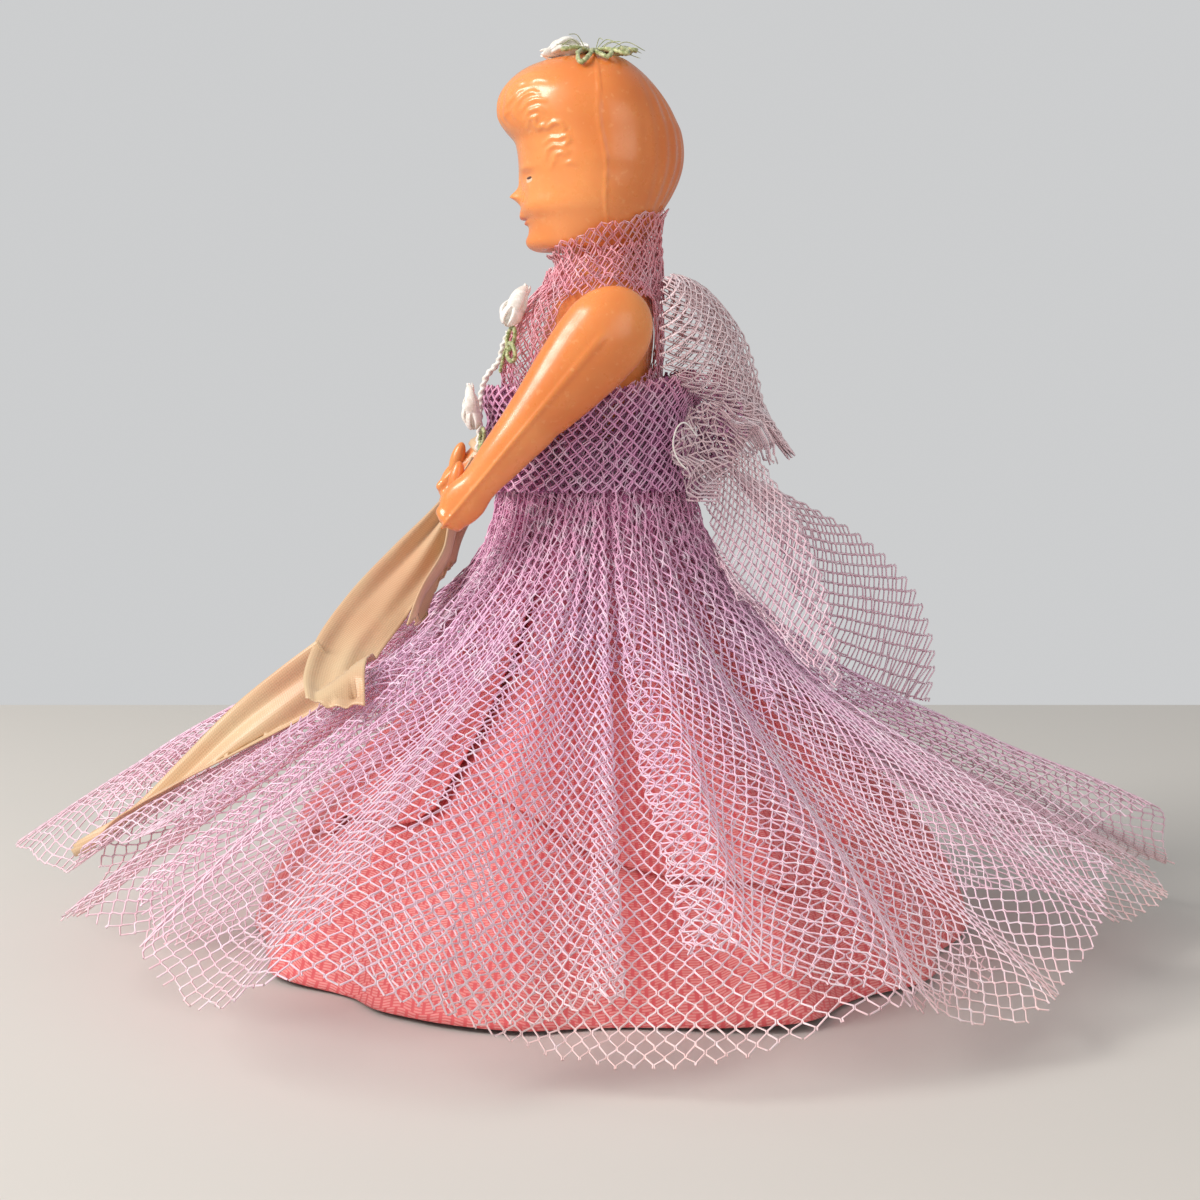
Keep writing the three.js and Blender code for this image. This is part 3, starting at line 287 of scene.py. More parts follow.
# coordinates or measures of any matching shapes, as one array of points
def together(*parts):
    return np.stack(np.broadcast_arrays(*parts), axis=-1)


def circle(count):
    return np.linspace(0, 2 * np.pi, count, endpoint=False)


# a table's columns at any key, on a smooth curve through its rows
def tableAt(table, key):
    rows = np.array(table, float)
    keys, values = rows[:, 0], rows[:, 1:]
    slope = np.gradient(values, keys, axis=0)
    key = np.clip(np.asarray(key, float), keys[0], keys[-1])
    i = np.clip(np.searchsorted(keys, key) - 1, 0, len(keys) - 2)
    step = (keys[i + 1] - keys[i])[..., None]
    t = (key - keys[i])[..., None] / step
    start = values[i] * (2 * t ** 3 - 3 * t ** 2 + 1) + slope[i] * step * (t ** 3 - 2 * t ** 2 + t)
    return start + values[i + 1] * (3 * t ** 2 - 2 * t ** 3) + slope[i + 1] * step * (t ** 3 - t ** 2)


def curveAt(points, share):
    points = np.array(points, float)
    keys = np.linspace(0, 1, len(points))
    return tableAt(np.column_stack([keys, points]), share)


# the row and column of each corner of a grid's faces
def gridCorners(rows, columns, closed=False):
    wide = columns if closed else columns - 1
    i, j = np.meshgrid(np.arange(wide), np.arange(rows - 1))
    return np.stack([j, i, j, i + 1, j + 1, i + 1, j + 1, i], axis=-1).reshape(-1, 4, 2)


def gridFaces(rows, columns, closed=False):
    corners = gridCorners(rows, columns, closed)
    return corners[..., 0] * columns + corners[..., 1] % columns


def newPiece(name, points, faces, material, measure=None, corners=None):
    mesh = bpy.data.meshes.new(name)
    mesh.from_pydata((np.asarray(points, float).reshape(-1, 3) * mm).tolist(), [], [list(f) for f in faces])
    if measure is not None:
        layer = mesh.uv_layers.new(name="cloth")
        uv = np.array([measure[j, i] for face in corners for j, i in face], np.float32)
        layer.data.foreach_set("uv", uv.ravel())
    mesh.materials.append(material)
    mesh.shade_smooth()
    mesh.update()
    piece = bpy.data.objects.new(name, mesh)
    scene.collection.objects.link(piece)
    return piece


# a sheet of cloth from a grid of points and its flat measure
def newSheet(name, points, material, measure, thickness, closed=False):
    grid = points.shape[:2]
    sheet = newPiece(name, points, gridFaces(*grid, closed), material, measure, gridCorners(*grid, closed))
    modifier = sheet.modifiers.new("cloth thickness", "SOLIDIFY")
    modifier.thickness = thickness * mm
    modifier.offset = 0
    return sheet


# closed skins from bundles of rings, with a fan at each end
def skins(name, bundles, material):
    points, faces = [], []
    for rings in bundles:
        rings = np.asarray(rings, float)
        rows, columns = rings.shape[:2]
        base = sum(len(group) for group in points)
        points.append(np.concatenate([rings.reshape(-1, 3), [rings[0].mean(0)], [rings[-1].mean(0)]]))
        faces += (gridFaces(rows, columns, True) + base).tolist()
        first, last = base + rows * columns, base + (rows - 1) * columns
        for i in range(columns):
            after = (i + 1) % columns
            faces.append([first, base + after, base + i])
            faces.append([first + 1, last + i, last + after])
    piece = newPiece(name, np.concatenate(points), faces, material)
    shape = bmesh.new()
    shape.from_mesh(piece.data)
    bmesh.ops.recalc_face_normals(shape, faces=shape.faces)
    shape.to_mesh(piece.data)
    shape.free()
    return piece


# a piece goes on its body, and takes the place of the nodes that it shows
def settle(piece, body, slotName, *shownNodes):
    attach(piece, body)
    if shownNodes:
        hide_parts(*shownNodes)


def normalsOf(rings):
    around = np.roll(rings, -1, axis=1) - np.roll(rings, 1, axis=1)
    along = np.gradient(rings, axis=0)
    normal = np.cross(along, around)
    normal /= np.maximum(np.linalg.norm(normal, axis=-1, keepdims=True), 1e-9)
    middle = rings.mean(axis=1, keepdims=True)
    inward = ((rings - middle) * normal).sum(-1).mean() < 0
    return -normal if inward else normal


# distance from points (two coordinates) to a line through the given places
def distanceTo(points, line):
    best = np.full(points.shape[:-1], 1e9)
    share = np.zeros(points.shape[:-1])
    for n, (a, b) in enumerate(zip(line[:-1], line[1:])):
        a, d = np.array(a, float), np.subtract(b, a).astype(float)
        t = np.clip(((points - a) @ d) / (d @ d), 0, 1)
        away = np.linalg.norm(points - a - t[..., None] * d, axis=-1)
        near = away < best
        best = np.where(near, away, best)
        share = np.where(near, (n + t) / (len(line) - 1), share)
    return best, share


# doll: sections as in the CAD, finer, with the face, the moulded hair and the mould seam
doll = {
    "chinHeight": 115.5, "headHeight": 31.8, "headHalfWidth": 13.3, "headHalfDepth": 17.2,
    "waistHeight": 84, "hipHeight": 60, "torsoHalfWidth": 14.3, "torsoHalfDepth": 12, "seamY": 1.5,
    "columns": 280, "rows": 200}

headShape = [
    [0, 0.62, 0.58, 0.4, 0], [0.032, 0.68, 0.67, 0.44, 0], [0.085, 0.76, 0.68, 0.5, 0.5],
    [0.148, 0.84, 0.71, 0.56, 1], [0.2, 0.9, 0.765, 0.61, 1], [0.275, 0.95, 0.75, 0.695, 1],
    [0.37, 0.98, 0.77, 0.775, 1], [0.433, 1, 0.785, 0.805, 1], [0.5, 1, 0.8, 0.814, 1],
    [0.56, 1, 0.83, 0.805, 1], [0.61, 1, 0.91, 0.785, 1], [0.665, 0.995, 0.98, 0.74, 0.8],
    [0.73, 0.975, 1, 0.68, 0.5], [0.8, 0.92, 0.97, 0.595, 0.2], [0.87, 0.81, 0.875, 0.485, 0],
    [0.93, 0.66, 0.73, 0.365, 0], [0.975, 0.45, 0.5, 0.24, 0], [1, 0, 0, 0, 0]]

torsoShape = [
    [0, 0.93, 0.76, 0.8, 0], [0.23, 0.99, 0.87, 0.9, 0], [0.51, 0.95, 0.93, 0.86, 0],
    [0.76, 0.85, 0.94, 0.74, 0], [1, 0.81, 0.89, 0.65, 0], [1.19, 0.84, 0.88, 0.65, 0],
    [1.38, 0.9, 0.92, 0.71, 0], [1.57, 0.94, 0.79, 0.75, 0.8], [1.72, 0.87, 0.66, 0.71, 0.8],
    [1.805, 0.68, 0.55, 0.64, 0.6], [1.877, 0.47, 0.45, 0.58, 0.5], [1.947, 0.4, 0.42, 0.52, 0.3],
    [2.03, 0.41, 0.42, 0.44, 0]]


def torsoLevel(level):
    level = np.asarray(level, float)
    low = doll["hipHeight"] + (doll["waistHeight"] - doll["hipHeight"]) * level
    high = doll["waistHeight"] + (doll["chinHeight"] - doll["waistHeight"]) * (level - 1)
    return np.where(level < 1, low, high)


def ovalRings(sections, halfWidth, halfDepth, heights, columns):
    angle = circle(columns)
    wide, front, back, centre = [sections[:, k][:, None] for k in range(4)]
    ahead = np.cos(angle)[None, :]
    reach = np.where(ahead > 0, front * halfDepth + centre, back * halfDepth - centre)
    x = wide * halfWidth * np.sin(angle)
    y = centre - ahead * reach
    return together(x, y, heights[:, None])


# moulded curls on each side of the head, as lines of (y, height), with how far each stands out
curls = [
    ([(-14.6, 140.6), (-13.7, 141.6), (-12.6, 142)], 0.22),
    ([(-14.4, 139.2), (-13.2, 140.4), (-11.8, 140.9)], 0.24),
    ([(-13.6, 138.3), (-12.4, 139.5), (-10.9, 139.9), (-9.9, 139.5)], 0.26),
    ([(-12.8, 137.2), (-11.7, 138.3), (-10.2, 138.7), (-8.9, 138.4)], 0.28),
    ([(-12.2, 135.7), (-11.4, 136.9), (-9.9, 137.3), (-9, 136.6)], 0.32),
    ([(-11.8, 134.4), (-11.4, 135.7), (-10.3, 135.9), (-10.5, 134.9), (-9.9, 134), (-8.9, 134.7)], 0.36),
    ([(-9.5, 134.6), (-8.5, 134), (-7.4, 134.9), (-6.3, 134.7), (-5.7, 133.8), (-6.1, 133)], 0.36),
    ([(-8.9, 131.8), (-7.9, 132.5), (-6.6, 132.3), (-5.3, 132.7), (-4.9, 131.9), (-5.7, 131.2)], 0.36),
    ([(-8.7, 129.4), (-8.4, 130.7), (-7.4, 131.3), (-6.2, 131.1), (-5.1, 130.2)], 0.38),
    ([(-7.5, 129), (-7, 129.9), (-6.2, 130.1), (-5.4, 129.7)], 0.3),
    ([(-7.9, 127.7), (-7.6, 128.5), (-7, 129)], 0.18),
    ([(-5.6, 128.2), (-4.7, 128.5), (-3.8, 128.1)], 0.2),
    ([(-15.6, 137.9), (-14.9, 138.9), (-14, 139.6)], 0.18),
    ([(-16, 136.4), (-15.4, 137.2), (-14.7, 137.6)], 0.16),
    ([(-12.9, 142.9), (-11.4, 143.4), (-9.6, 143.3)], 0.12),
    ([(-11.6, 141.8), (-10, 142.2), (-8.2, 141.8)], 0.14)]

# swellings of the face as in the CAD: half width, height and place as shares of the head's, depth, out
faceSwellings = [
    (1.5, 0.037, 0.28, 1.9, 0), (2.6, 0.023, 0.174, 0.7, 0), (4, 0.042, 0.042, 0.8, 0),
    (3, 0.085, 0.232, 0.5, 6.5), (1.9, 0.016, 0.262, 0.4, 0), (0.9, 0.07, 0.345, 0.35, 0),
    (2.2, 0.012, 0.14, 0.45, 0), (2.6, 0.007, 0.157, -0.4, 0), (2.3, 0.03, 0.362, -0.55, 5.2),
    (2.6, 0.016, 0.408, 0.22, 5), (1.3, 0.01, 0.355, 0.22, 5.3), (0.8, 0.018, 0.216, -0.22, 0)]


def headRelief(rings, normal):
    x, y, z = np.moveaxis(rings, -1, 0)
    share = (z - doll["chinHeight"]) / doll["headHeight"]
    face = np.zeros_like(x)
    for width, tall, place, depth, out in faceSwellings:
        across = (np.abs(x) - out) / width if out > 0 else x / width
        face = face + depth * np.exp(-across ** 2 - ((share - place) / tall) ** 2)
    relief = np.where(y < 0, face, 0)
    side = together(y, z)
    outside = smooth(2.0, 6.0, np.abs(x))
    for line, stand in curls:
        away, along = distanceTo(side, line)
        fade = np.sin(np.pi * np.clip(along, 0.04, 0.96)) ** 0.4
        relief = relief + stand * outside * fade * np.exp(-(away / 0.34) ** 2)
    rear = smooth(5, 11, y) * smooth(118, 124, z) * smooth(147, 141, z)
    turn = np.arctan2(x, y)
    relief = relief - 0.22 * rear * (0.5 + 0.5 * np.cos(30 * turn + 1.6 * np.sin(0.16 * z)))
    fringe = smooth(135, 136.5, z) * smooth(145, 141, z) * smooth(-10, -14, y)
    relief = relief - 0.2 * fringe * (0.5 + 0.5 * np.cos(x * 2.9 + 0.8 * np.sin(z * 1.3)))
    wander = 1.8 * smooth(120, 146, z) - 0.25 * np.sin(z * 0.5)
    seam = np.exp(-((y - doll["seamY"] + 0.3 + wander) / 0.26) ** 2) * smooth(1, 5, np.abs(x))
    relief = relief + 0.24 * seam * smooth(117, 119, z) * (0.8 + 0.2 * np.sin(z * 2.3))
    return rings + normal * relief[..., None]


def makeHead():
    turn = np.linspace(0, np.pi, doll["rows"])[:-1]
    share = (1 - np.cos(turn)) / 2
    sections = tableAt([[math.acos(1 - 2 * row[0])] + row[1:] for row in headShape], turn)
    sections[:, :3] = np.maximum(sections[:, :3], 0.004)
    heights = doll["chinHeight"] + share * doll["headHeight"]
    rings = ovalRings(sections, doll["headHalfWidth"], doll["headHalfDepth"], heights, doll["columns"])
    rings = headRelief(rings, normalsOf(rings))
    throat = rings[0] * [0.62, 0.62, 0] + [0, 0, doll["chinHeight"] + 0.4]
    head = skins("doll_head", [np.concatenate([throat[None], rings])], plastic)
    settle(head, "doll", "doll_plastic")


def makeTorso():
    levels = np.linspace(0.0, 2.03, 150)
    sections = tableAt(torsoShape, levels)
    rings = ovalRings(sections, doll["torsoHalfWidth"], doll["torsoHalfDepth"], torsoLevel(levels), 120)
    seam = np.exp(-((rings[..., 1] - doll["seamY"]) / 0.3) ** 2) * smooth(3, 6, np.abs(rings[..., 0]))
    torso = skins("doll_torso", [rings + normalsOf(rings) * (0.18 * seam)[..., None]], plastic)
    settle(torso, "doll", "doll_plastic", "body_front_shell", "body_back_shell")


legShape = [
    [0, 0.48, 0.95, 0.46], [0.02, 0.54, 1, 0.56], [0.05, 0.54, 0.94, 0.58], [0.08, 0.52, 0.62, 0.58],
    [0.125, 0.49, 0.34, 0.56], [0.18, 0.54, 0.325, 0.6], [0.43, 0.78, 0.395, 0.88],
    [0.54, 0.75, 0.43, 0.76], [0.77, 0.93, 0.56, 0.94], [1, 1, 0.75, 1.3]]
leg = {"spacing": 14, "length": 66, "halfWidth": 6.7, "reach": 11.2}


def makeLeg(side, name):
    share = np.linspace(0, 1, 90)
    sections = tableAt(legShape, share) * [1, leg["reach"] / leg["halfWidth"], 1]
    rings = ovalRings(np.column_stack([sections, 0 * share]), leg["halfWidth"], leg["halfWidth"],
                      share * leg["length"], 48)
    made = skins(name, [rings + [side * leg["spacing"] / 2, 0, 0]], plastic)
    settle(made, "doll", "doll_plastic")


# arms hang from the pivot along -Z in their own frame and are swung forward
armShape = [
    [0.03, 1, 1, 0], [0.1, 0.985, 1, 0], [0.22, 0.9, 0.97, 0], [0.44, 0.68, 0.88, 0.5],
    [0.66, 0.52, 0.75, 1.4], [0.79, 0.44, 0.58, 2.1], [0.87, 0.5, 0.5, 2.5], [0.94, 0.4, 0.4, 2.8],
    [0.99, 0.18, 0.22, 3], [1, 0, 0, 3]]
arm = {
    "centreX": 20.5, "length": 41, "crown": 7.2, "halfBreadth": 7, "halfThickness": 4.8, "pivotZ": 101.4,
    "leftAngle": 40.6, "rightAngle": 46.5}


def tilted(points, turn):
    x, y, z = np.moveaxis(points, -1, 0)
    return together(x, y * math.cos(turn) - z * math.sin(turn), y * math.sin(turn) + z * math.cos(turn))


def swung(points, angle):
    return tilted(points, -math.radians(angle)) + [0, doll["seamY"], arm["pivotZ"]]


def makeArm(side, word):
    share = -0.16 + 1.16 * (1 - np.cos(np.linspace(0, np.pi, 130))) / 2
    breadth, thickness, lean = tableAt(armShape, share).T
    crown = np.sqrt(1 - np.clip((0.03 - share) / 0.19, 0, 1) ** 2)
    breadth, thickness = np.maximum(breadth * crown, 0.004), np.maximum(thickness * crown, 0.004)
    turn = circle(72)
    wave = np.sin(turn)[None, :]
    x = side * (arm["centreX"] - lean[:, None]) + thickness[:, None] * arm["halfThickness"] * wave
    y = -breadth[:, None] * arm["halfBreadth"] * np.cos(turn)[None, :]
    length = np.where(share < 0, arm["crown"] / 0.16, arm["length"])
    z = (-share * length)[:, None]
    rings = together(x, y, z)
    normal = normalsOf(rings)
    outer = side * wave
    seam = np.exp(-(y / 0.28) ** 2) * smooth(0.5, 0.9, outer) * smooth(0, -3, z)
    inner = np.exp(-(y / 0.28) ** 2) * smooth(-0.5, -0.9, outer) * smooth(-8, -12, z)
    fingers = smooth(0.84, 0.9, -z / arm["length"]) * np.cos(y * 2.9) * smooth(0.2, -0.6, outer)
    nail = np.exp(-((y + 0.6) / 0.9) ** 2 - ((z + arm["length"] * 0.965) / 0.9) ** 2) * smooth(0, 0.6, outer)
    elbow = 0.25 * np.exp(-((z + 18) / 1.2) ** 2) * smooth(0.2, -0.8, np.cos(turn)[None, :])
    relief = 0.34 * (seam + inner) + 0.26 * fingers + 0.3 * nail - elbow
    rings = rings + normal * relief[..., None]
    angle = arm[word + "Angle"]
    made = skins("doll_arm_" + word, [swung(rings, angle)], plastic)
    settle(made, word + "_arm", "doll_plastic", word + "_arm_front_half", word + "_arm_back_half")
    thumbTurn = np.linspace(0, np.pi, 24)
    around = circle(20)
    radius = np.maximum(np.sin(thumbTurn), 0.02)[:, None] * 1.25
    thumb = together(radius * np.cos(around), radius * np.sin(around), -3.1 * np.cos(thumbTurn)[:, None])
    thumb = tilted(thumb, 0.5) + [side * (arm["centreX"] - 3.6), -arm["halfBreadth"] * 0.46,
                                  -arm["length"] * 0.83]
    settle(skins(f"doll_arm_{word}_thumb", [swung(thumb, angle)], plastic), word + "_arm", "doll_plastic")


makeHead()
makeTorso()
makeLeg(1, "doll_leg_left")
makeLeg(-1, "doll_leg_right")
makeArm(1, "left")
makeArm(-1, "right")
print("doll made")

# cloth rings and skirt curves as in the CAD
skirt = {
    "waistHeight": 84, "halfWidth": 12.6, "front": 13.6, "back": 9.5, "step": 0.62, "lift": 1.6,
    "folds": 10, "netFold": 4, "satinFold": 2.6, "clearance": 0.77, "rows": 96}
netProfiles = {
    "front": [(8.5, 44), (33, 50), (95, 5)],
    "side": [(12.5, 46), (44, 38), (88, 0.5)],
    "back": [(11, 42), (41, 31), (97, 0.5)]}
satinProfiles = {
    "front": [(10.5, 34), (44, 36), (57, 0.5)],
    "side": [(14.8, 36), (50, 37), (58, 0.5)],
    "back": [(12, 36), (47, 37), (58, 0.5)]}


def ringRadius(turn, halfWidth, front, back):
    return 1 / np.hypot(np.sin(turn) / halfWidth, np.cos(turn) / np.where(np.cos(turn) > 0, front, back))


def waistRadius(layer, turn, out=0):
    step = skirt["step"] * layer
    return ringRadius(turn, skirt["halfWidth"] + step + out, skirt["front"] + 1.6 * step + out,
                      skirt["back"] + 1.9 * step + out)


def foldWave(turn):
    return 0.72 * np.cos(skirt["folds"] * turn + 0.5 * np.sin(2 * turn)) + 0.28 * np.cos(4 * turn + 1.1)


def skirtPoints(profiles, layer, level, foldHeight, turn, fall, extra):
    share = np.cos(turn) ** 2
    ahead = np.cos(turn) > 0
    controls = []
    for side, front, back in zip(profiles["side"], profiles["front"], profiles["back"]):
        controls.append([side[k] + (np.where(ahead, front[k], back[k]) - side[k]) * share for k in range(2)])
    waist = waistRadius(layer, turn)
    controls[0][0] = controls[0][0] + waist - waistRadius(0, turn)
    stations = [[waist, np.full_like(turn, skirt["waistHeight"])]] + controls
    t, s = fall, 1 - fall
    weights = [s ** 3, 3 * s * s * t, 3 * s * t * t, t ** 3]
    r, z = [sum(w * p[k] for w, p in zip(weights, stations)) for k in range(2)]
    slopes = [s * s, 2 * s * t, t * t]
    dr, dz = [sum(w * (b[k] - a[k]) for w, a, b in zip(slopes, stations[:-1], stations[1:]))
              for k in range(2)]
    size = np.maximum(np.hypot(dr, dz), 1e-9)
    fold = foldHeight * smooth(0.03, 0.9, fall) * foldWave(turn)
    out = skirt["lift"] * (layer - 1) * smooth(0.05, 0.4, fall) + fold + extra
    r = r - dz / size * out
    z = z + dr / size * out
    floor = skirt["clearance"] + skirt["lift"] * level
    over = np.minimum((z - floor) / 1.2, 20)
    z = np.where((z - floor) / 1.2 > 20, z, floor + 1.2 * np.log1p(np.exp(over)))
    return together(r * np.sin(turn), -r * np.cos(turn), z)


def panelHem(edge, tip, place, u):
    away = np.where(u < place, (place - u) / place, (u - place) / (1 - place))
    return tip + (edge - tip) * away ** 1.2


def arcMeasure(points):
    steps = np.linalg.norm(np.diff(points, axis=0), axis=-1)
    return np.concatenate([np.zeros((1,) + steps.shape[1:]), np.cumsum(steps, axis=0)])


def clothArea(points):
    a, b = points[:-1, 1:] - points[:-1, :-1], points[1:, :-1] - points[:-1, :-1]
    return np.linalg.norm(np.cross(a, b), axis=-1).sum()


# Geometry Nodes: zigzag threads over a surface, each meeting its neighbours, as dress net is knitted
netSize = {
    "cell": 2.6, "row": 1.42, "radius": 0.16, "touch": 0.2, "knot": 0.5, "jitter": 0.08, "sides": 3,
    "slip": 0.55, "apart": 0}


def makeNetTree():
    tree = bpy.data.node_groups.new("zigzag net", "GeometryNodeTree")
    kinds = {"Geometry": ["Geometry"], "Int": ["Threads", "Thread Points", "Seed", "Sides"],
             "Float": ["Flat Width", "Flat Length", "Cell", "Row", "Touch", "Knot", "Jitter", "Thread Radius",
                       "Shift"],
             "Material": ["Material"]}
    newSocket = tree.interface.new_socket
    sockets = {name: newSocket(name, in_out="INPUT", socket_type="NodeSocket" + kind).identifier
               for kind, names in kinds.items() for name in names}
    newSocket("Geometry", in_out="OUTPUT", socket_type="NodeSocketGeometry")
    kit = Kit(tree)
    given = tree.nodes.new("NodeGroupInput")
    inputs = {output.name: Wire(kit, output) for output in given.outputs if output.name}
    grid = kit.add("GeometryNodeMeshGrid", None, {2: inputs["Threads"], 3: inputs["Thread Points"]})
    ends = tree.nodes.new("GeometryNodeInputMeshEdgeVertices")
    apart = (Wire(kit, ends.outputs[0]) - Wire(kit, ends.outputs[1])).size() > 1.5
    lines = kit.add("GeometryNodeDeleteGeometry", {"domain": "EDGE", "mode": "EDGE_FACE"},
                    {0: grid, 1: apart})
    index = kit.add("GeometryNodeInputIndex")
    thread = (index / inputs["Thread Points"]).floor()
    place = index % inputs["Thread Points"]
    row = (place / 2).floor()
    lower = place % 2
    swing = 1 - 2 * ((row + thread) % 2)
    wobble = kit.add("FunctionNodeRandomValue", {"data_type": "FLOAT_VECTOR"},
                     {0: (-1, -1, -1), 1: (1, 1, 1), "ID": index, "Seed": inputs["Seed"]})
    wx, wy = kit.xyz(wobble)[:2]
    half = inputs["Cell"] / 2
    x = thread * half + swing * (half - inputs["Touch"]) / 2 + wx * inputs["Jitter"] + inputs["Shift"]
    y = row * inputs["Row"] + (lower - 0.5) * inputs["Knot"] + wy * inputs["Jitter"] + inputs["Shift"]
    at = kit.add("ShaderNodeCombineXYZ", None, {0: x / inputs["Flat Width"], 1: y / inputs["Flat Length"]})
    cloth = kit.add("GeometryNodeInputNamedAttribute", {"data_type": "FLOAT_VECTOR"}, {"Name": "cloth"})
    where = kit.add("GeometryNodeInputPosition")
    sample = tree.nodes.new("GeometryNodeSampleUVSurface")
    sample.data_type = "FLOAT_VECTOR"
    for key, value in {0: inputs["Geometry"], 1: where, 2: cloth, 3: at}.items():
        kit.put(sample.inputs[key], value)
    moved = kit.add("GeometryNodeSetPosition", None, {0: lines, 2: Wire(kit, sample.outputs[0])})
    off = kit.add("FunctionNodeBooleanMath", {"operation": "NOT"}, {0: Wire(kit, sample.outputs[1])})
    kept = kit.add("GeometryNodeDeleteGeometry", {"domain": "POINT", "mode": "ALL"}, {0: moved, 1: off})
    curves = kit.add("GeometryNodeMeshToCurve", None, {0: kept})
    ring = kit.add("GeometryNodeCurvePrimitiveCircle", {"mode": "RADIUS"},
                   {"Resolution": inputs["Sides"], "Radius": inputs["Thread Radius"]})
    tubes = kit.add("GeometryNodeCurveToMesh", None, {0: curves, 1: ring})
    real = kit.add("GeometryNodeRealizeInstances", None, {0: tubes})
    done = kit.add("GeometryNodeSetMaterial", None, {0: real, 2: inputs["Material"]})
    result = tree.nodes.new("NodeGroupOutput")
    kit.put(result.inputs[0], done)
    return tree, sockets


netTree, netSockets = makeNetTree()


# net over a surface with its flat measure; node is what it shows, or None
def makeNet(name, node, points, measure, material, seed, held, rests, layers=1, keep=None, **changes):
    size = {**netSize, **changes}
    measure = measure - measure.reshape(-1, 2).min(0)
    width, length = measure.reshape(-1, 2).max(0)
    faces, corners = gridFaces(*points.shape[:2]), gridCorners(*points.shape[:2])
    if keep:
        wanted = keep(points.reshape(-1, 3)[faces].mean(1))
        faces, corners = faces[wanted], corners[wanted]
    cut = measure[corners[..., 0], corners[..., 1]]
    area = abs(np.cross(cut[:, 2] - cut[:, 0], cut[:, 3] - cut[:, 1])).sum() / 2
    for layer in range(layers):
        surface = points + normalsOf(points) * size["apart"] * layer
        holder = newPiece(name + "_surface", surface, faces, material, measure / [width, length], corners)
        modifier = holder.modifiers.new("net", "NODES")
        modifier.node_group = netTree
        values = {"Flat Width": width, "Flat Length": length, "Cell": size["cell"], "Row": size["row"],
                  "Touch": size["touch"], "Knot": size["knot"], "Jitter": size["jitter"],
                  "Thread Radius": size["radius"] * mm, "Threads": int(width / (size["cell"] / 2)) + 2,
                  "Thread Points": 2 * (int(length / size["row"]) + 2), "Shift": 0.3 + size["slip"] * layer,
                  "Seed": seed + 17 * layer, "Sides": size["sides"], "Material": material}
        for key, value in values.items():
            modifier[netSockets[key]] = float(value) if isinstance(value, np.floating) else value
        graph = bpy.context.evaluated_depsgraph_get()
        mesh = bpy.data.meshes.new_from_object(holder.evaluated_get(graph))
        mesh.shade_smooth()
        bpy.data.objects.remove(holder)
        piece = bpy.data.objects.new(name if layer == 0 else f"{name}_{layer + 1}", mesh)
        piece.data.name = piece.name
        scene.collection.objects.link(piece)
        settle(piece, "doll", "net", *([node] if node and layer == 0 else []))
        declare(piece, width, length, min(area, width * length), held, rests)


def declare(piece, width, length, area, held, rests):
    width * mm
    length * mm
    area * mm * mm


grounds = []


# ridges of cloth: turn, half width (both in degrees), height, lean to one side, where it starts, sway
def drawRidges(seed, start, stop, fine):
    random = np.random.default_rng(seed)
    count = max(2, round((stop - start) / fine["every"]))
    places = start + (np.arange(count) + 0.5 + random.uniform(-0.3, 0.3, count)) * (stop - start) / count
    return [(place, random.uniform(*fine["width"]), random.uniform(*fine["height"]), random.uniform(-1, 1),
             random.uniform(0.1, 0.4), random.uniform(-11, 11)) for place in places]


def ridgesAt(ridges, turns, fall):
    out, aside = np.zeros_like(turns), np.zeros_like(turns)
    for place, width, height, lean, begin, sway in ridges:
        away = (turns - np.radians(place + sway * fall) + np.pi) % (2 * np.pi) - np.pi
        swell = np.exp(-(away / np.radians(width * (0.55 + 0.6 * fall))) ** 2)
        swell = swell * height * (0.12 + 0.88 * smooth(begin, 0.9, fall))
        out = out + swell
        aside = aside + lean * swell
    return out, aside


# a panel's surface and its flat measure: the cloth is cut wider at the hem than at the waist, and its
# threads run at an angle (grain) to its middle line
def skirtPanel(panel, profiles, layer, level, foldHeight, fine, ridges, seed, columns):
    start, stop, edge, tip, place = panel
    random = np.random.default_rng(seed)
    run = np.linspace(-fine["turned"], 1 + fine["turned"], columns)
    u = 1 - np.abs(1 - np.abs(run))
    fall = np.linspace(0, 1, skirt["rows"])[:, None] ** 1.15 * panelHem(edge, tip, place, u)[None, :]
    turns = np.broadcast_to(np.radians(start + (stop - start) * u), fall.shape)
    out, aside = ridgesAt(ridges, turns, fall)
    phase = random.uniform(0, 6.3, 3)
    gathers = np.cos(fine["gathers"] * turns + phase[0] + 2 * fall)
    gathers = gathers * smooth(0.0, 0.06, fall) * smooth(0.55, 0.2, fall)
    hem = np.sin(13 * turns + phase[1]) + 0.6 * np.sin(29 * turns + phase[2])
    hem = np.maximum(smooth(0.8, 1.0, fall / fall[-1:]) * hem, -0.4)
    over = np.maximum(np.abs(run - 0.5) - 0.5, 0)
    extra = out + fine["gatherHeight"] * gathers + fine["curl"] * hem + 1.1 * smooth(0, 0.02, over)
    moved = turns + fine["lean"] * aside / (12 + 80 * fall)
    points = skirtPoints(profiles, layer, level, foldHeight, moved, fall, extra)
    down = arcMeasure(points)
    around = arcMeasure(points.swapaxes(0, 1)).swapaxes(0, 1)
    cut = around[-1, -1] * (fine["waistCut"] + (1 - fine["waistCut"]) * fall.mean(1) / fall.max())
    across = (run - 0.5)[None, :] / (1 + 2 * fine["turned"]) * cut[:, None]
    grain = math.radians(random.uniform(*fine["grain"]))
    return points, together(across * math.cos(grain) - down * math.sin(grain),
                            across * math.sin(grain) + down * math.cos(grain))


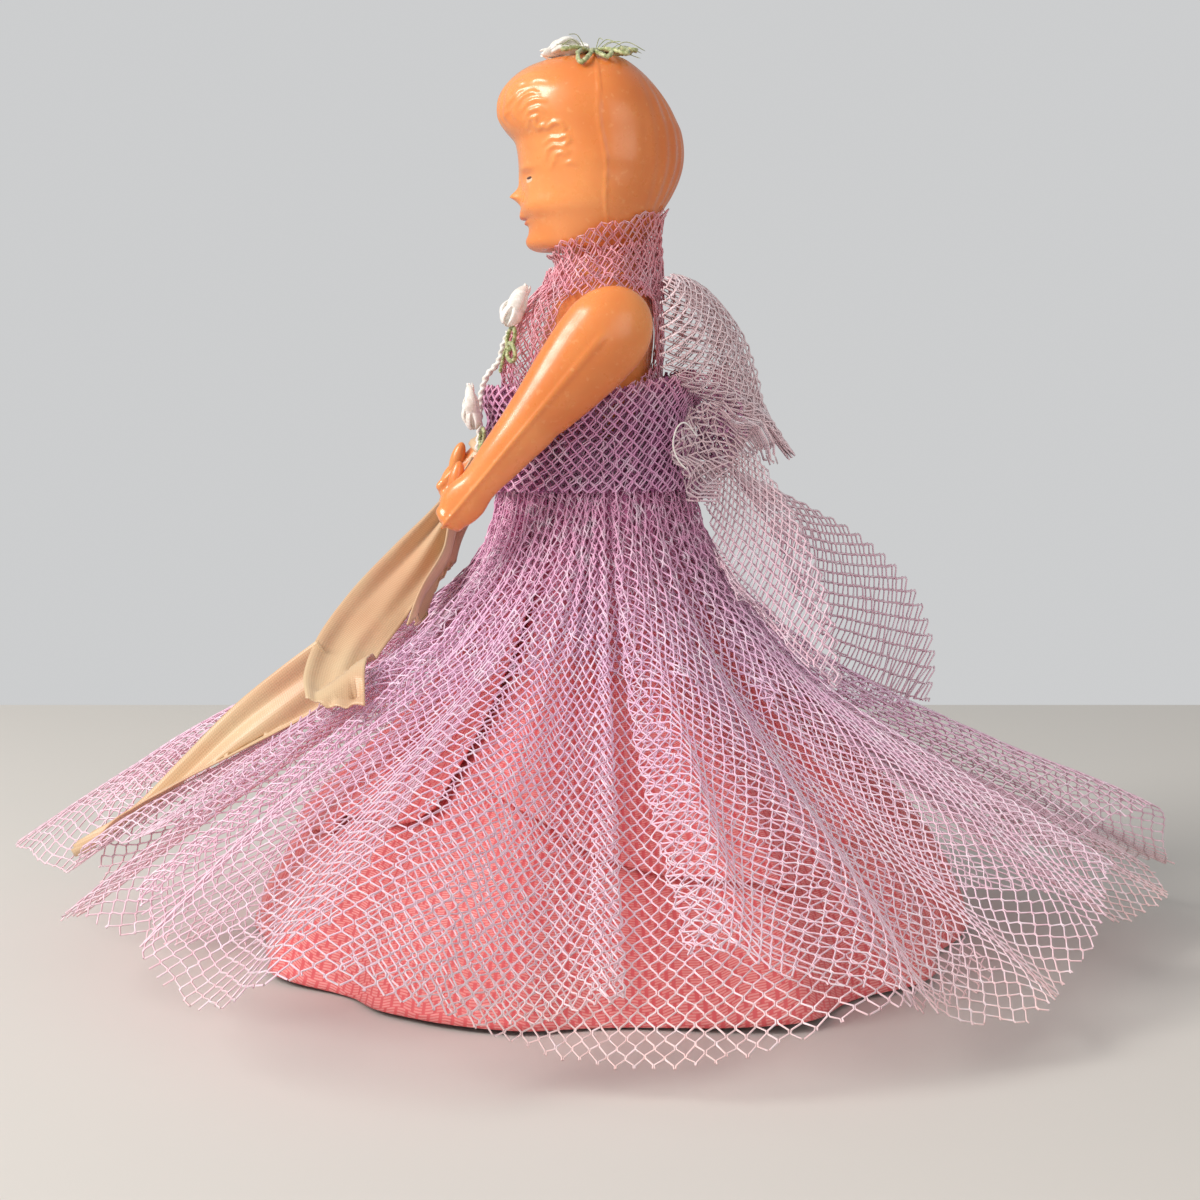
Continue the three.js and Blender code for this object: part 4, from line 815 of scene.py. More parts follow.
innerNets = [
    (-72, -6, 0.86, 0.97, 0.55), (-3, 63, 0.89, 0.97, 0.45), (66, 132, 0.93, 0.985, 0.5),
    (135, 213, 0.82, 0.98, 0.5), (216, 285, 0.86, 0.98, 0.5)]
outerNets = [
    (-36, 34, 0.84, 1, 0.5), (37, 93, 0.92, 1, 0.4), (96, 156, 0.9, 0.99, 0.5), (159, 228, 0.8, 1, 0.35),
    (231, 321, 0.8, 0.97, 0.45)]
shortNets = [
    (-64, 20, 0.34, 0.56, 0.6), (8, 88, 0.4, 0.62, 0.3), (76, 158, 0.36, 0.55, 0.6),
    (150, 228, 0.34, 0.5, 0.5), (220, 300, 0.34, 0.52, 0.5)]
satinPanels = {
    "under": (0, 360, 1, 1, 0.5),
    "over_1": (-58, 56, 0.68, 0.86, 0.35),
    "over_2": (64, 176, 0.62, 0.84, 0.5),
    "over_3": (184, 296, 0.66, 0.82, 0.6)}
netFine = {
    "every": 19, "width": (4, 8.5), "height": (0.8, 4.2), "lean": 1.1, "turned": 0, "gathers": 70,
    "gatherHeight": 0.45, "curl": 1, "waistCut": 0.4, "grain": (-25, 25)}
outerFine = {**netFine, "every": 17, "height": (1.2, 6.5), "turned": 0.07, "curl": 1.4}
shortFine = {**netFine, "gatherHeight": 0.8, "grain": (-35, 35)}
satinFine = {
    "every": 22, "width": (5.5, 10), "height": (0.8, 4.2), "lean": 0.7, "turned": 0, "gathers": 44,
    "gatherHeight": 0.5, "curl": 0.3, "waistCut": 1, "grain": (0, 0)}
netRidges = drawRidges(21, 0, 360, netFine)
satinRidges = drawRidges(8, 0, 360, satinFine)


def makeNets(stem, panels, layer, level, fine):
    for n, panel in enumerate(panels):
        seed = int(10 * layer) + 100 * (stem == "short") + n
        ridges = netRidges + (drawRidges(seed, panel[0], panel[1], fine) if stem != "inner" else [])
        points, measure = skirtPanel(panel, netProfiles, layer, level, skirt["netFold"], fine, ridges, seed,
                                     int(math.radians(panel[1] - panel[0]) * 150) + 2)
        node = None if stem == "short" else f"{stem}_net_{n + 1}"
        makeNet(f"{stem}_net_panel_{n + 1}", node, points, measure, netFabric, seed, "gathered",
                "satin_skirt_under")
        grounds.append(points)


def makeSatins():
    for key, panel in satinPanels.items():
        under = key == "under"
        layer, level, columns = (1, 0, 385) if under else (2, 1, int(math.radians(panel[1] - panel[0]) * 62))
        points, measure = skirtPanel(panel, satinProfiles, layer, level, skirt["satinFold"], satinFine,
                                     satinRidges, 3, columns)
        if under:
            points[..., 2] = np.maximum(points[..., 2] - smooth(7, 1.5, points[..., 2]), 0.25)
        sheet = newSheet("satin_skirt_" + key, points[:, :-1] if under else points, satin, measure, 0.3,
                         under)
        settle(sheet, "doll", "satin", "satin_" + key.replace("er", "erskirt"))
        declare(sheet, *np.ptp(measure.reshape(-1, 2), axis=0), clothArea(points), "gathered",
                "doll_torso" if under else "satin_skirt_under")


makeSatins()
print("satin skirts made")
makeNets("inner", innerNets, 3, 0, netFine)
makeNets("short", shortNets, 3.5, 0, shortFine)
makeNets("outer", outerNets, 4, 1, outerFine)
print("skirt nets made")

# bodice, collar and sash
bodiceShape = [
    [0.917, 1, 1, 1], [1, 1, 1, 1], [1.19, 1.071, 1.162, 1.032], [1.381, 1.127, 1.191, 1.063],
    [1.571, 1.159, 1.088, 1.074], [1.73, 1.087, 0.838, 1.01], [1.81, 0.873, 0.662, 0.926],
    [1.857, 0.69, 0.515, 0.863]]
bodice = {
    "foot": 0.917, "top": 1.857, "armhole": 8.7, "columns": 150, "rows": 60, "flat": 96, "crease": 0.28}


# cloth round her, from its radius and height at each turn and row, with its flat measure
def ringSurface(levels, columns, flat, radiusAt, heightAt):
    turns, rows = np.meshgrid(np.linspace(0, 2 * np.pi, columns), levels)
    radius = radiusAt(turns, rows)
    points = together(radius * np.sin(turns), -radius * np.cos(turns), heightAt(turns, rows))
    return points, together(turns / (2 * np.pi) * flat, arcMeasure(points))


def makeBodice():
    def radiusAt(turns, rows):
        wide, ahead, behind = np.moveaxis(tableAt(bodiceShape, rows), -1, 0)
        crease = bodice["crease"] * (np.cos(19 * turns + 6 * rows) + 0.8 * np.cos(8 * turns - 11 * rows))
        return ringRadius(turns, wide * skirt["halfWidth"] + crease, ahead * skirt["front"] + crease,
                          behind * skirt["back"] + crease)

    def keep(centres):
        away = np.hypot(centres[:, 1] - doll["seamY"], centres[:, 2] - arm["pivotZ"])
        return (away > bodice["armhole"]) | (np.abs(centres[:, 0]) < 7)

    levels = np.linspace(bodice["foot"], bodice["top"], bodice["rows"])[::-1]
    points, measure = ringSurface(levels, bodice["columns"], bodice["flat"], radiusAt,
                                  lambda turns, rows: torsoLevel(rows))
    makeNet("bodice_net", "net_bodice", points, measure, upperNet, 70, "stretched", "doll_torso", 2, keep,
            cell=1.8, row=1.15, knot=0.4, radius=0.13, jitter=0.2, apart=0.3)


# the collar is a strip folded double over its upper edge, which hugs the jaw and the back of the head
collar = {
    "halfWidth": 8.8, "sideSpread": 3, "front": 7.2, "frontSpread": 0.4, "back": 8.8, "backSpread": 2.1,
    "foot": 111, "footDrop": 0.7, "frontTop": 114.1, "backRise": 8.2, "headGap": 0.75, "flat": 74}
neckBand = {
    "halfWidth": 11.4, "front": 8.2, "back": 9.9, "foot": 107.2, "frontTop": 112.4, "backRise": 5.4,
    "flare": 1.3, "flat": 70}


def headRadius(turns, heights):
    share = (np.maximum(heights, doll["chinHeight"]) - doll["chinHeight"]) / doll["headHeight"]
    wide, front, back = np.moveaxis(tableAt(headShape, share), -1, 0)[:3]
    return ringRadius(turns, wide * doll["headHalfWidth"], front * doll["headHalfDepth"],
                      back * doll["headHalfDepth"])


def makeCollar():
    def heightAt(turns, rows):
        behind = (1 - np.cos(turns)) / 2
        low = collar["foot"] - collar["footDrop"] * behind
        high = collar["frontTop"] + collar["backRise"] * behind ** 0.8
        return high + (low - high) * np.abs(rows) + 0.35 * np.sin(9 * turns) * (1 - np.abs(rows))

    def radiusAt(turns, rows):
        behind, spread = (1 - np.cos(turns)) / 2, 1 - np.abs(rows)
        heights = heightAt(turns, rows)
        base = ringRadius(turns, collar["halfWidth"] + collar["sideSpread"] * spread,
                          collar["front"] + collar["frontSpread"] * spread,
                          collar["back"] + collar["backSpread"] * spread * behind)
        hug = headRadius(turns, heights) + collar["headGap"]
        crease = 0.22 * np.cos(15 * turns + 5 * rows) - np.where(rows < 0, 0.35, 0) * smooth(0, -0.3, rows)
        return base + (np.maximum(base, hug) - base) * smooth(113.4, 115.6, heights) + crease

    points, measure = ringSurface(np.linspace(-1, 1, 48), 130, collar["flat"], radiusAt, heightAt)
    measure[..., 1] -= measure[24, :, 1].copy()
    makeNet("collar_net", "net_collar", points, measure, upperNet, 80, "folded", "doll_head", cell=2.0,
            row=1.2, knot=0.4, jitter=0.16, radius=0.14)


# the bodice's own top edge stands up round the neck, outside the collar's foot
def makeNeckBand():
    def heightAt(turns, rows):
        behind = (1 - np.cos(turns)) / 2
        high = neckBand["frontTop"] + neckBand["backRise"] * behind
        return high + (neckBand["foot"] - high) * rows + 0.3 * np.sin(7 * turns + 1) * (1 - rows)

    def radiusAt(turns, rows):
        swell = neckBand["flare"] * rows ** 1.6 + 0.5 * np.sin(np.pi * rows)
        crease = 0.26 * np.cos(13 * turns + 4 * rows) + 0.2 * np.cos(31 * turns - 5 * rows)
        return ringRadius(turns, neckBand["halfWidth"] + swell, neckBand["front"] + swell,
                          neckBand["back"] + 0.3 * swell) + crease

    points, measure = ringSurface(np.linspace(0, 1, 30), 130, neckBand["flat"], radiusAt, heightAt)
    makeNet("neck_band_net", None, points, measure, upperNet, 84, "stretched", "bodice_net", 2, cell=1.8,
            row=1.15, knot=0.4, jitter=0.18, radius=0.13, apart=0.25)


# the sash is wound in several turns: two light ones outside, two in its own shade inside
sash = {
    "layer": 5, "top": 92.5, "height": 17, "pleats": 5, "pleat": 0.5, "flat": 108, "crush": 1.1,
    "inside": 0.55}


def makeSash():
    def radiusAt(turns, rows):
        wave = np.cos(np.pi * sash["pleats"] * rows + np.sin(turns) + 0.9 * np.sin(3 * turns + 1))
        flare = rows ** 2 + sash["pleat"] * (1 - wave) * (0.3 + 0.7 * np.cos(turns) ** 2)
        ruffle = 0.8 * smooth(0.12, 0, rows) * np.sin(11 * turns) * smooth(0.3, -0.5, np.cos(turns))
        return waistRadius(sash["layer"], turns, flare) + ruffle

    def heightAt(turns, rows):
        rise = 2.6 * smooth(0.2, -0.9, np.cos(turns)) * (1 - rows)
        return sash["top"] - rows * sash["height"] + 0.7 * np.sin(2 * turns + 1) * (1 - rows) + rise

    points, measure = ringSurface(np.linspace(0, 1, 60), 160, sash["flat"], radiusAt, heightAt)
    measure[..., 1] *= sash["crush"]
    makeNet("sash_net", "net_sash", points, measure, upperNet, 90, "folded", "bodice_net", 2, radius=0.17,
            apart=0.2, cell=2.1, row=1.2, knot=0.45, slip=0.3, jitter=0.12)
    inside = points - normalsOf(points) * sash["inside"]
    makeNet("sash_inner_net", None, inside, measure, shadeNet, 94, "folded", "bodice_net", 2, radius=0.2,
            apart=-0.3, cell=1.7, row=1.0, knot=0.4)


makeBodice()
makeCollar()
makeNeckBand()
makeSash()
print("bodice, collar and sash made")

# bow, tails and veil at the back
bow = {
    "y": 20.15,
    "z": 83.5,
    "knot": 3.3,
    "knotFlat": 26,
    "stretch": 1.35,
    "root": (4.2, 24, 80.5),
    "cut": 44,
    "length": 15,
    "rim": [(10, 19, 73.2), (14, 14.6, 75.6), (16, 12.9, 80), (16, 12.6, 84.5), (15, 14.4, 88.2),
        (13.4, 17.4, 90), (11, 21.4, 88.2), (9.5, 26, 85.6), (8.5, 29.4, 80)]}
veil = {
    "halfWidth": 11.5,
    "edge": 10.3,
    "gather": 0.86,
    "flat": 34,
    "line": [(10.6, 110.3), (16, 108.8), (21.8, 102), (24.6, 95.2), (26, 90), (28.4, 85.6), (32, 80.5)]}


def makeKnot():
    turns, arounds = np.meshgrid(np.linspace(0, 2 * np.pi, 60), np.linspace(0.12, np.pi - 0.12, 26))
    crease = 1 + 0.09 * np.cos(5 * turns + 2 * arounds)
    radius = bow["knot"] * np.sin(arounds) * crease
    points = together(radius * np.cos(turns), bow["y"] + radius * np.sin(turns),
                      bow["z"] + bow["knot"] * bow["stretch"] * np.cos(arounds))
    measure = together(turns / (2 * np.pi) * bow["knotFlat"], arcMeasure(points) * sash["crush"])
    makeNet("bow_knot_net", "bow_knot", points, measure, upperNet, 100, "folded", "sash_net", 2, cell=1.6,
            row=1.1, knot=0.35)


# a bow end spreads from the knot like a fan, with a raw, waving rim
def makeBowEnd(side, word):
    v = np.linspace(0.04, 1, 40)[:, None, None]
    s = np.linspace(0, 1, 120)
    root, rim = np.array(bow["root"], float), curveAt(bow["rim"], s)[None]
    away = (rim - root) / np.linalg.norm(rim - root, axis=-1, keepdims=True)
    along = np.gradient(rim, axis=1)
    lift = np.cross(along, away)
    lift /= np.linalg.norm(lift, axis=-1, keepdims=True)
    wave = np.sin(34 * s + 0.5) + 0.5 * np.sin(71 * s + 1)
    ragged = 1 + 0.05 * np.sin(23 * s) + 0.035 * np.sin(61 * s + 2)
    points = root + (rim - root) * v ** 0.9 * ragged[None, :, None]
    points = points + lift * (0.8 * v * wave[None, :, None] - 1.6 * np.sin(np.pi * v))
    measure = together((s[None] - 0.5) * bow["cut"] * (0.3 + 0.7 * v[..., 0]), v[..., 0] * bow["length"])
    makeNet(f"bow_end_{word}_net", "bow_end_" + word, points * [side, 1, 1], measure, paleNet, 110 + side,
            "gathered", "bow_knot_net", 2, cell=2.5, row=1.4, radius=0.17, apart=1.0)


# a flap of net stands up from the knot on each side, between the back and the veil
flap = {
    "x": 6.2, "y": 20.4, "z": 84.5, "height": 11.2, "halfWidth": 4.2, "inward": 1.4, "forward": 1.2,
    "fold": 1.5, "ruffle": 0.7}


def makeBowFlap(side, word):
    v = np.linspace(0, 1, 40)[:, None]
    across = np.linspace(-1, 1, 50)[None, :]
    fold = flap["fold"] * np.cos(4.6 * across + 1.2 * v)
    x = side * (flap["x"] - flap["inward"] * v) + fold * (0.5 + 0.5 * v)
    y = flap["y"] - flap["forward"] * v + across * (flap["halfWidth"] - 1.5 * v ** 2) + 0.5 * fold * v
    z = flap["z"] + flap["height"] * v * (1 - 0.12 * across ** 2) + flap["ruffle"] * np.sin(5 * across) * v
    points = together(x, y, z)
    wide = arcMeasure(points.swapaxes(0, 1)).max()
    measure = together((across + 1) / 2 * wide, arcMeasure(points))
    makeNet(f"bow_flap_{word}_net", None, points, measure, upperNet, 116 + side, "folded", "bow_knot_net", 2,
            cell=2.0, row=1.1, knot=0.35, apart=0.4)


# from above the veil is a U: its middle stands out along its line and its sides come back to her
def makeVeil():
    v = np.linspace(0, 1, 60)
    line = curveAt(veil["line"], v)
    v = v[:, None]
    across = np.linspace(-1, 1, 90)[None, :]
    puff = np.sin(np.pi * v)
    spread = 0.7 + 0.3 * np.sin(np.pi * np.minimum(1, 1.4 * v))
    back = 1 - np.abs(across) ** 2.4
    edge = veil["edge"] + (line[:, :1] - veil["edge"]) * smooth(0.45, 0.85, v)
    start = np.minimum(edge, line[:, :1])
    fold = puff * (0.5 * np.cos(9 * across) + 0.35 * np.cos(21 * across + 3 * v))
    y = start + (line[:, :1] - start) * back + fold
    x = across * veil["halfWidth"] * spread * (1 - veil["gather"] * smooth(0.5, 1, v))
    points = together(x, y, line[:, 1:])
    measure = together((across + 1) / 2 * veil["flat"], arcMeasure(points))
    makeNet("veil_net", "back_veil", points, measure, paleNet, 120, "gathered", "bow_knot_net", 3, apart=0.6,
            radius=0.14, slip=0.7, cell=2.0, row=1.05, knot=0.4)


makeKnot()
makeBowEnd(1, "left")
makeBowEnd(-1, "right")
makeBowFlap(1, "left")
makeBowFlap(-1, "right")
makeVeil()


# the nets under a place, for what lies on them
def makeGround():
    points, faces, base = [], [], 0
    for surface in grounds:
        points.append(surface.reshape(-1, 3))
        faces.append(gridFaces(*surface.shape[:2]) + base)
        base += len(points[-1])
    return BVHTree.FromPolygons(np.concatenate(points).tolist(), np.concatenate(faces).tolist())


ground = makeGround()
groundReach = 1.6


def groundUnder(x, y):
    heights = [-1.0]
    for shift in (-groundReach, 0, groundReach):
        hit = ground.ray_cast(Vector((x + shift, y, skirt["waistHeight"])), Vector((0, 0, -1)))
        if hit[0] is not None:
            heights.append(hit[0].z)
    return max(heights)


# a strip of cloth along a line; facing is roughly the way its face looks, and where it is drawn in
# narrower than its cut, it stands in pleats
def band(places, widths, facing, columns, rows, clearance, ripple, cut=0.0, pleats=2.0):
    v = np.linspace(0, 1, rows)
    centre, width = curveAt(places, v)[:, None], curveAt(widths, v)[:, None]
    if cut:
        width = width * np.minimum(1, cut / (2 * np.linalg.norm(width, axis=-1, keepdims=True)))
    u = np.linspace(-1, 1, columns)[None, :, None]
    points = centre + width * u
    along = np.gradient(points, axis=0)
    normal = np.cross(along, np.broadcast_to(width, along.shape))
    normal /= np.maximum(np.linalg.norm(normal, axis=-1, keepdims=True), 1e-9)
    normal = np.where((normal @ np.array(facing, float))[..., None] < 0, -normal, normal)
    flatU = u[..., 0]
    waves = ripple * v[:, None] * (np.cos((flatU + 1) * 4.5) + 0.35 * np.cos(flatU * 13 + 6 * v[:, None]))
    spare = np.sqrt(np.maximum(cut ** 2 - (2 * np.linalg.norm(width, axis=-1)) ** 2, 0)) / (4 * pleats)
    waves = waves + spare * np.sin(flatU * np.pi * pleats + 0.8)
    points = points + normal * waves[..., None]
    for j in range(rows):
        for i in range(columns):
            x, y, z = points[j, i]
            points[j, i, 2] = max(z, groundUnder(x, y) + clearance)
    return points


bowTails = {
    "bow_tail_left": {"facing": (1, 0, 1), "places": [(5, 21, 81), (9.5, 25.5, 70), (12.5, 28, 60),
        (14.5, 29.5, 50), (15.5, 31, 41)], "widths": [(1.5, 5, 1), (2.25, 7, 1), (2.6, 8.8, 0.75),
        (2.6, 9, 1), (2.25, 8.6, 1.5)]},
    "bow_tail_right": {"facing": (-1, 0, 1), "places": [(-2.5, 22, 78.7), (-6, 33, 70), (-8, 40, 62),
        (-9, 46.5, 54), (-9.3, 49.8, 45), (-9.3, 50.4, 36)], "widths": [(-2, 0, 0), (-2.25, 3.4, 2.25),
        (-1.9, 6.6, 4.5), (-1.5, 8.6, 3.75), (-1.1, 9, 1.9), (-0.75, 7.5, 0.75)]}}

for seed, (name, tail) in enumerate(bowTails.items()):
    points = band(tail["places"], tail["widths"], tail["facing"], 56, 70, 1.4, 0.9)
    across = np.linalg.norm(np.diff(points, axis=1), axis=-1).sum(1).max()
    makeNet(name + "_net", name, points, together(np.linspace(0, across, 56), arcMeasure(points)), paleNet,
            130 + seed, "hung", "bow_knot_net", 2, apart=0.6, radius=0.18)
print("bow and veil made")

# ribbon: a loop round the right wrist, two strands and a long tail on the skirt
ribbon = {
    "front": {"clearance": 2.2, "end": (0.003, -0.038, 0.045), "places": [(-14.3, -21.1, 80.7),
        (-11, -25.5, 72.5), (-4, -31.5, 63.5), (6, -37, 56.5), (15, -41, 50.5), (24, -42, 46),
        (31, -41, 43)], "widths": [(0, 1, 0.8), (0.5, 2.6, 0.2), (0.4, 4.4, -1.4), (0.2, 4.8, -2),
        (0.2, 4.9, -1.6), (0.8, 5, -1), (1.6, 4.8, -0.8)]},
    "back": {"clearance": 3, "end": (0.002, -0.028, 0.056), "places": [(-14.3, -18.5, 79.7),
        (-6, -24.5, 69), (2, -26, 62), (10, -29, 57), (15, -30, 52)], "widths": [(0, 0.8, -0.8), (2, 0, 3),
        (3, 0, 3.6), (4, 0, 3.2), (4.4, -1, 2)]},
    "tail": {"clearance": 0.8, "places": [(18, -43, 47.5), (17.5, -50, 42.5), (17, -58, 36.5),
        (17, -67, 29), (17, -76, 22), (15, -86, 16.5)], "widths": [(0.8, 2.6, -4.4), (1.4, 2.4, -4.2),
        (2.4, 2, -3.8), (3.4, 1.4, -2.6), (3.6, 0.4, -1), (1.3, -0.4, 0)]},
    "width": 10.5,
    "thickness": 0.25,
    "start": (-0.0143, -0.02, 0.079),
    "place": 0.72,
    "loopWidth": 2.6,
    "loopLength": 26,
    "loopClearance": 0.6}


for key in ("front", "back", "tail"):
    piece = ribbon[key]
    points = band(piece["places"], piece["widths"], (0.4, 0, 1), 25, 90, piece["clearance"], 0.2,
                  ribbon["width"])
    measure = together(np.linspace(0, ribbon["width"], 25), arcMeasure(points))
    strand = newSheet("ribbon_strand_" + key, points, ribbonSatin, measure, ribbon["thickness"])
    if "end" in piece:
        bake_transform(strand)
        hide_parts("ribbon_" + key)
    else:
        settle(strand, "doll", "ribbon", "ribbon_" + key)
    length = measure[-1, :, 1].mean()
    declare(strand, ribbon["width"], length, ribbon["width"] * length, "draped", "outer_net_panel_1")


def makeWristLoop():
    section = tableAt(armShape, ribbon["place"])
    turn = circle(64)
    v = np.linspace(0, 1, 8)[:, None]
    clearance = ribbon["loopClearance"] + 0.12 * np.cos(v * 9 + turn * 2)
    x = section[2] - arm["centreX"] + (section[1] * arm["halfThickness"] + clearance) * np.sin(turn)
    y = -(section[0] * arm["halfBreadth"] + clearance) * np.cos(turn)
    z = -arm["length"] * ribbon["place"] + ribbon["loopWidth"] * (0.5 - v)
    points = swung(together(x, y, z), arm["rightAngle"])
    measure = together(np.linspace(0, ribbon["loopWidth"], 8)[:, None],
                       np.linspace(0, ribbon["loopLength"], 65))
    loop = newSheet("ribbon_wrist_loop", points, ribbonSatin, measure, ribbon["thickness"], True)
    settle(loop, "right_arm", "ribbon", "ribbon_knot")


makeWristLoop()
print("ribbon made")

# a round thread along a line, with a twist of two plies and closed ends
def thread(places, radius, count=40, sides=8, twist=0.0, closedAt=0.25):
    points = curveAt(places, np.linspace(0, 1, count))
    along = np.gradient(points, axis=0)
    along /= np.linalg.norm(along, axis=1, keepdims=True)
    across = np.cross(along[0], [0.3, 0.2, 0.93] if abs(along[0][2]) < 0.8 else [1, 0.1, 0])
    walked = np.concatenate([[0], np.cumsum(np.linalg.norm(np.diff(points, axis=0), axis=1))])
    turn = circle(sides)
    rings = []
    for n in range(count):
        across = across - along[n] * (across @ along[n])
        across /= np.linalg.norm(across)
        other = np.cross(along[n], across)
        thick = radius * (1 + 0.28 * np.cos(2 * (turn - twist * walked[n])) * bool(twist))
        if n in (0, count - 1):
            thick = thick * closedAt
        ring = np.cos(turn)[:, None] * across + np.sin(turn)[:, None] * other
        rings.append(points[n] + thick[:, None] * ring)
    return rings


def threadLoop(foot, out, aside, length, width, radius, depth=0.0):
    out, aside = np.array(out, float), np.array(aside, float)
    turn = np.linspace(0.12, 2 * np.pi - 0.12, 9)
    lift = np.cross(out, aside)
    return thread([np.array(foot) + out * length * (1 - math.cos(t)) / 2 + aside * width / 2 * math.sin(t)
                   + lift * depth * math.sin(t / 2) for t in turn], radius, 48, 8, 5.0)


# a leaf loop that lies on the head, from its top out to reach at a turn from her back
def onHead(turn, reach, width, lift):
    t = np.linspace(0.12, 2 * np.pi - 0.12, 11)
    out, aside = 1 + reach * (1 - np.cos(t)) / 2, width / 2 * np.sin(t)
    x = 0.6 + out * math.sin(turn) + aside * math.cos(turn)
    y = -1.2 + out * math.cos(turn) - aside * math.sin(turn)
    share = np.interp(np.hypot(x / 13.3, y / 16), [0, 0.45, 0.66, 0.81, 0.92], [1, 0.975, 0.93, 0.87, 0.8])
    z = doll["chinHeight"] + doll["headHeight"] * share + 0.5 + lift * np.sin(t / 2) ** 2
    return thread(together(x, y, z), 0.36, 52, 8, 5.0)


# a rosebud of wound thread: petals round an axis, each closed, thickest at its middle
def makeBud(node, axis, length, radius, petals, drop):
    centre = np.add(*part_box(node)) / 2 / mm - [0, 0, drop]
    axis = np.array(axis, float) / np.linalg.norm(axis)
    side = np.cross(axis, [0.2, 1, 0.1])
    side /= np.linalg.norm(side)
    other = np.cross(axis, side)
    t = np.linspace(0.02, 0.98, 22)
    around = circle(16)
    bundles = []
    for n in range(petals):
        inner = n % 3 == 2
        out = side * math.cos(2.4 * n) + other * math.sin(2.4 * n)
        flat = np.cross(axis, out)
        reach = radius * (0.22 if inner else 0.58)
        begin, end = (-0.42, 0.5) if inner else (-0.5, 0.5 - 0.07 * (n % 4))
        line = centre + np.outer(length * (begin + (end - begin) * t), axis)
        line = line + np.outer(reach * np.sin(np.pi * t) ** 0.7 + 0.25 * radius * np.sin(6 * t + n), out)
        wide = radius * 0.62 * np.sin(np.pi * t) ** 0.6 * (1 - 0.25 * t)
        ring = (np.outer(np.cos(around) * (1 + 0.1 * np.cos(5 * around)), flat)
                + 0.45 * np.outer(np.sin(around), out))
        bundles.append([place + w * ring for place, w in zip(line, wide)])
    settleThreads(node + "_petals", bundles, "white_trim", node)


def settleThreads(name, bundles, slotName, *shownNodes):
    material = {"white_trim": whiteThread, "green_trim": greenThread}[slotName]
    settle(skins(name, bundles, material), "doll", slotName, *shownNodes)


# axis, length, radius, number of petals, and how far below its node's middle
buds = {
    "rosebud_upper": ((-0.3, 0.43, 0.85), 8.2, 2.2, 9, 0),
    "rosebud_lower": ((0.03, -0.1, 1), 8, 1.8, 8, 0),
    "hair_bud_left": ((0.3, -0.92, -0.25), 7.4, 2, 9, 1.9),
    "hair_bud_right": ((1, 0.2, 0.12), 6, 1.8, 8, 1.1)}
hairLeaves = [
    (-2.4, 4, 2.2, 1.6), (-1.2, 4, 2.2, 1.9), (-0.3, 5.5, 2.4, 0.9), (0.5, 7, 2.6, 0.7),
    (0.95, 8.5, 2.6, 0.9), (1.3, 8, 2.8, 0.5), (1.75, 9, 2.4, 0.8), (2.3, 6, 2.4, 1.2)]
threadEnd = [
    (17.6, 15.6, 84.6), (19, 13.6, 86.8), (19.6, 12.2, 86), (19.8, 11.6, 83.4), (19.6, 12.4, 81),
    (19.4, 13.8, 79.4)]
leafLine = [(6.9, -15.3, 99.3), (6, -15.8, 98.2), (5.3, -16.2, 96.6), (5.2, -16.6, 95)]
stemLine = [
    (5.6, -15.1, 101.8), (5.3, -15.4, 101), (4.7, -16.1, 99.4), (3.9, -16.9, 96.9), (3.3, -18.9, 94.5),
    (2.7, -19.8, 91.9), (2.3, -20.1, 89.6), (1.9, -20.2, 87.2), (1.5, -20.3, 84.7), (1.3, -20.6, 82.1)]
leafFoot = {"upper": (6.6, -15.2, 99), "lower": (4.5, -20, 83.2)}
stray = {"count": 11, "radius": 0.07, "foot": (0.8, -1.5, 147.6), "turn": 2.6, "length": (3.5, 8.5)}


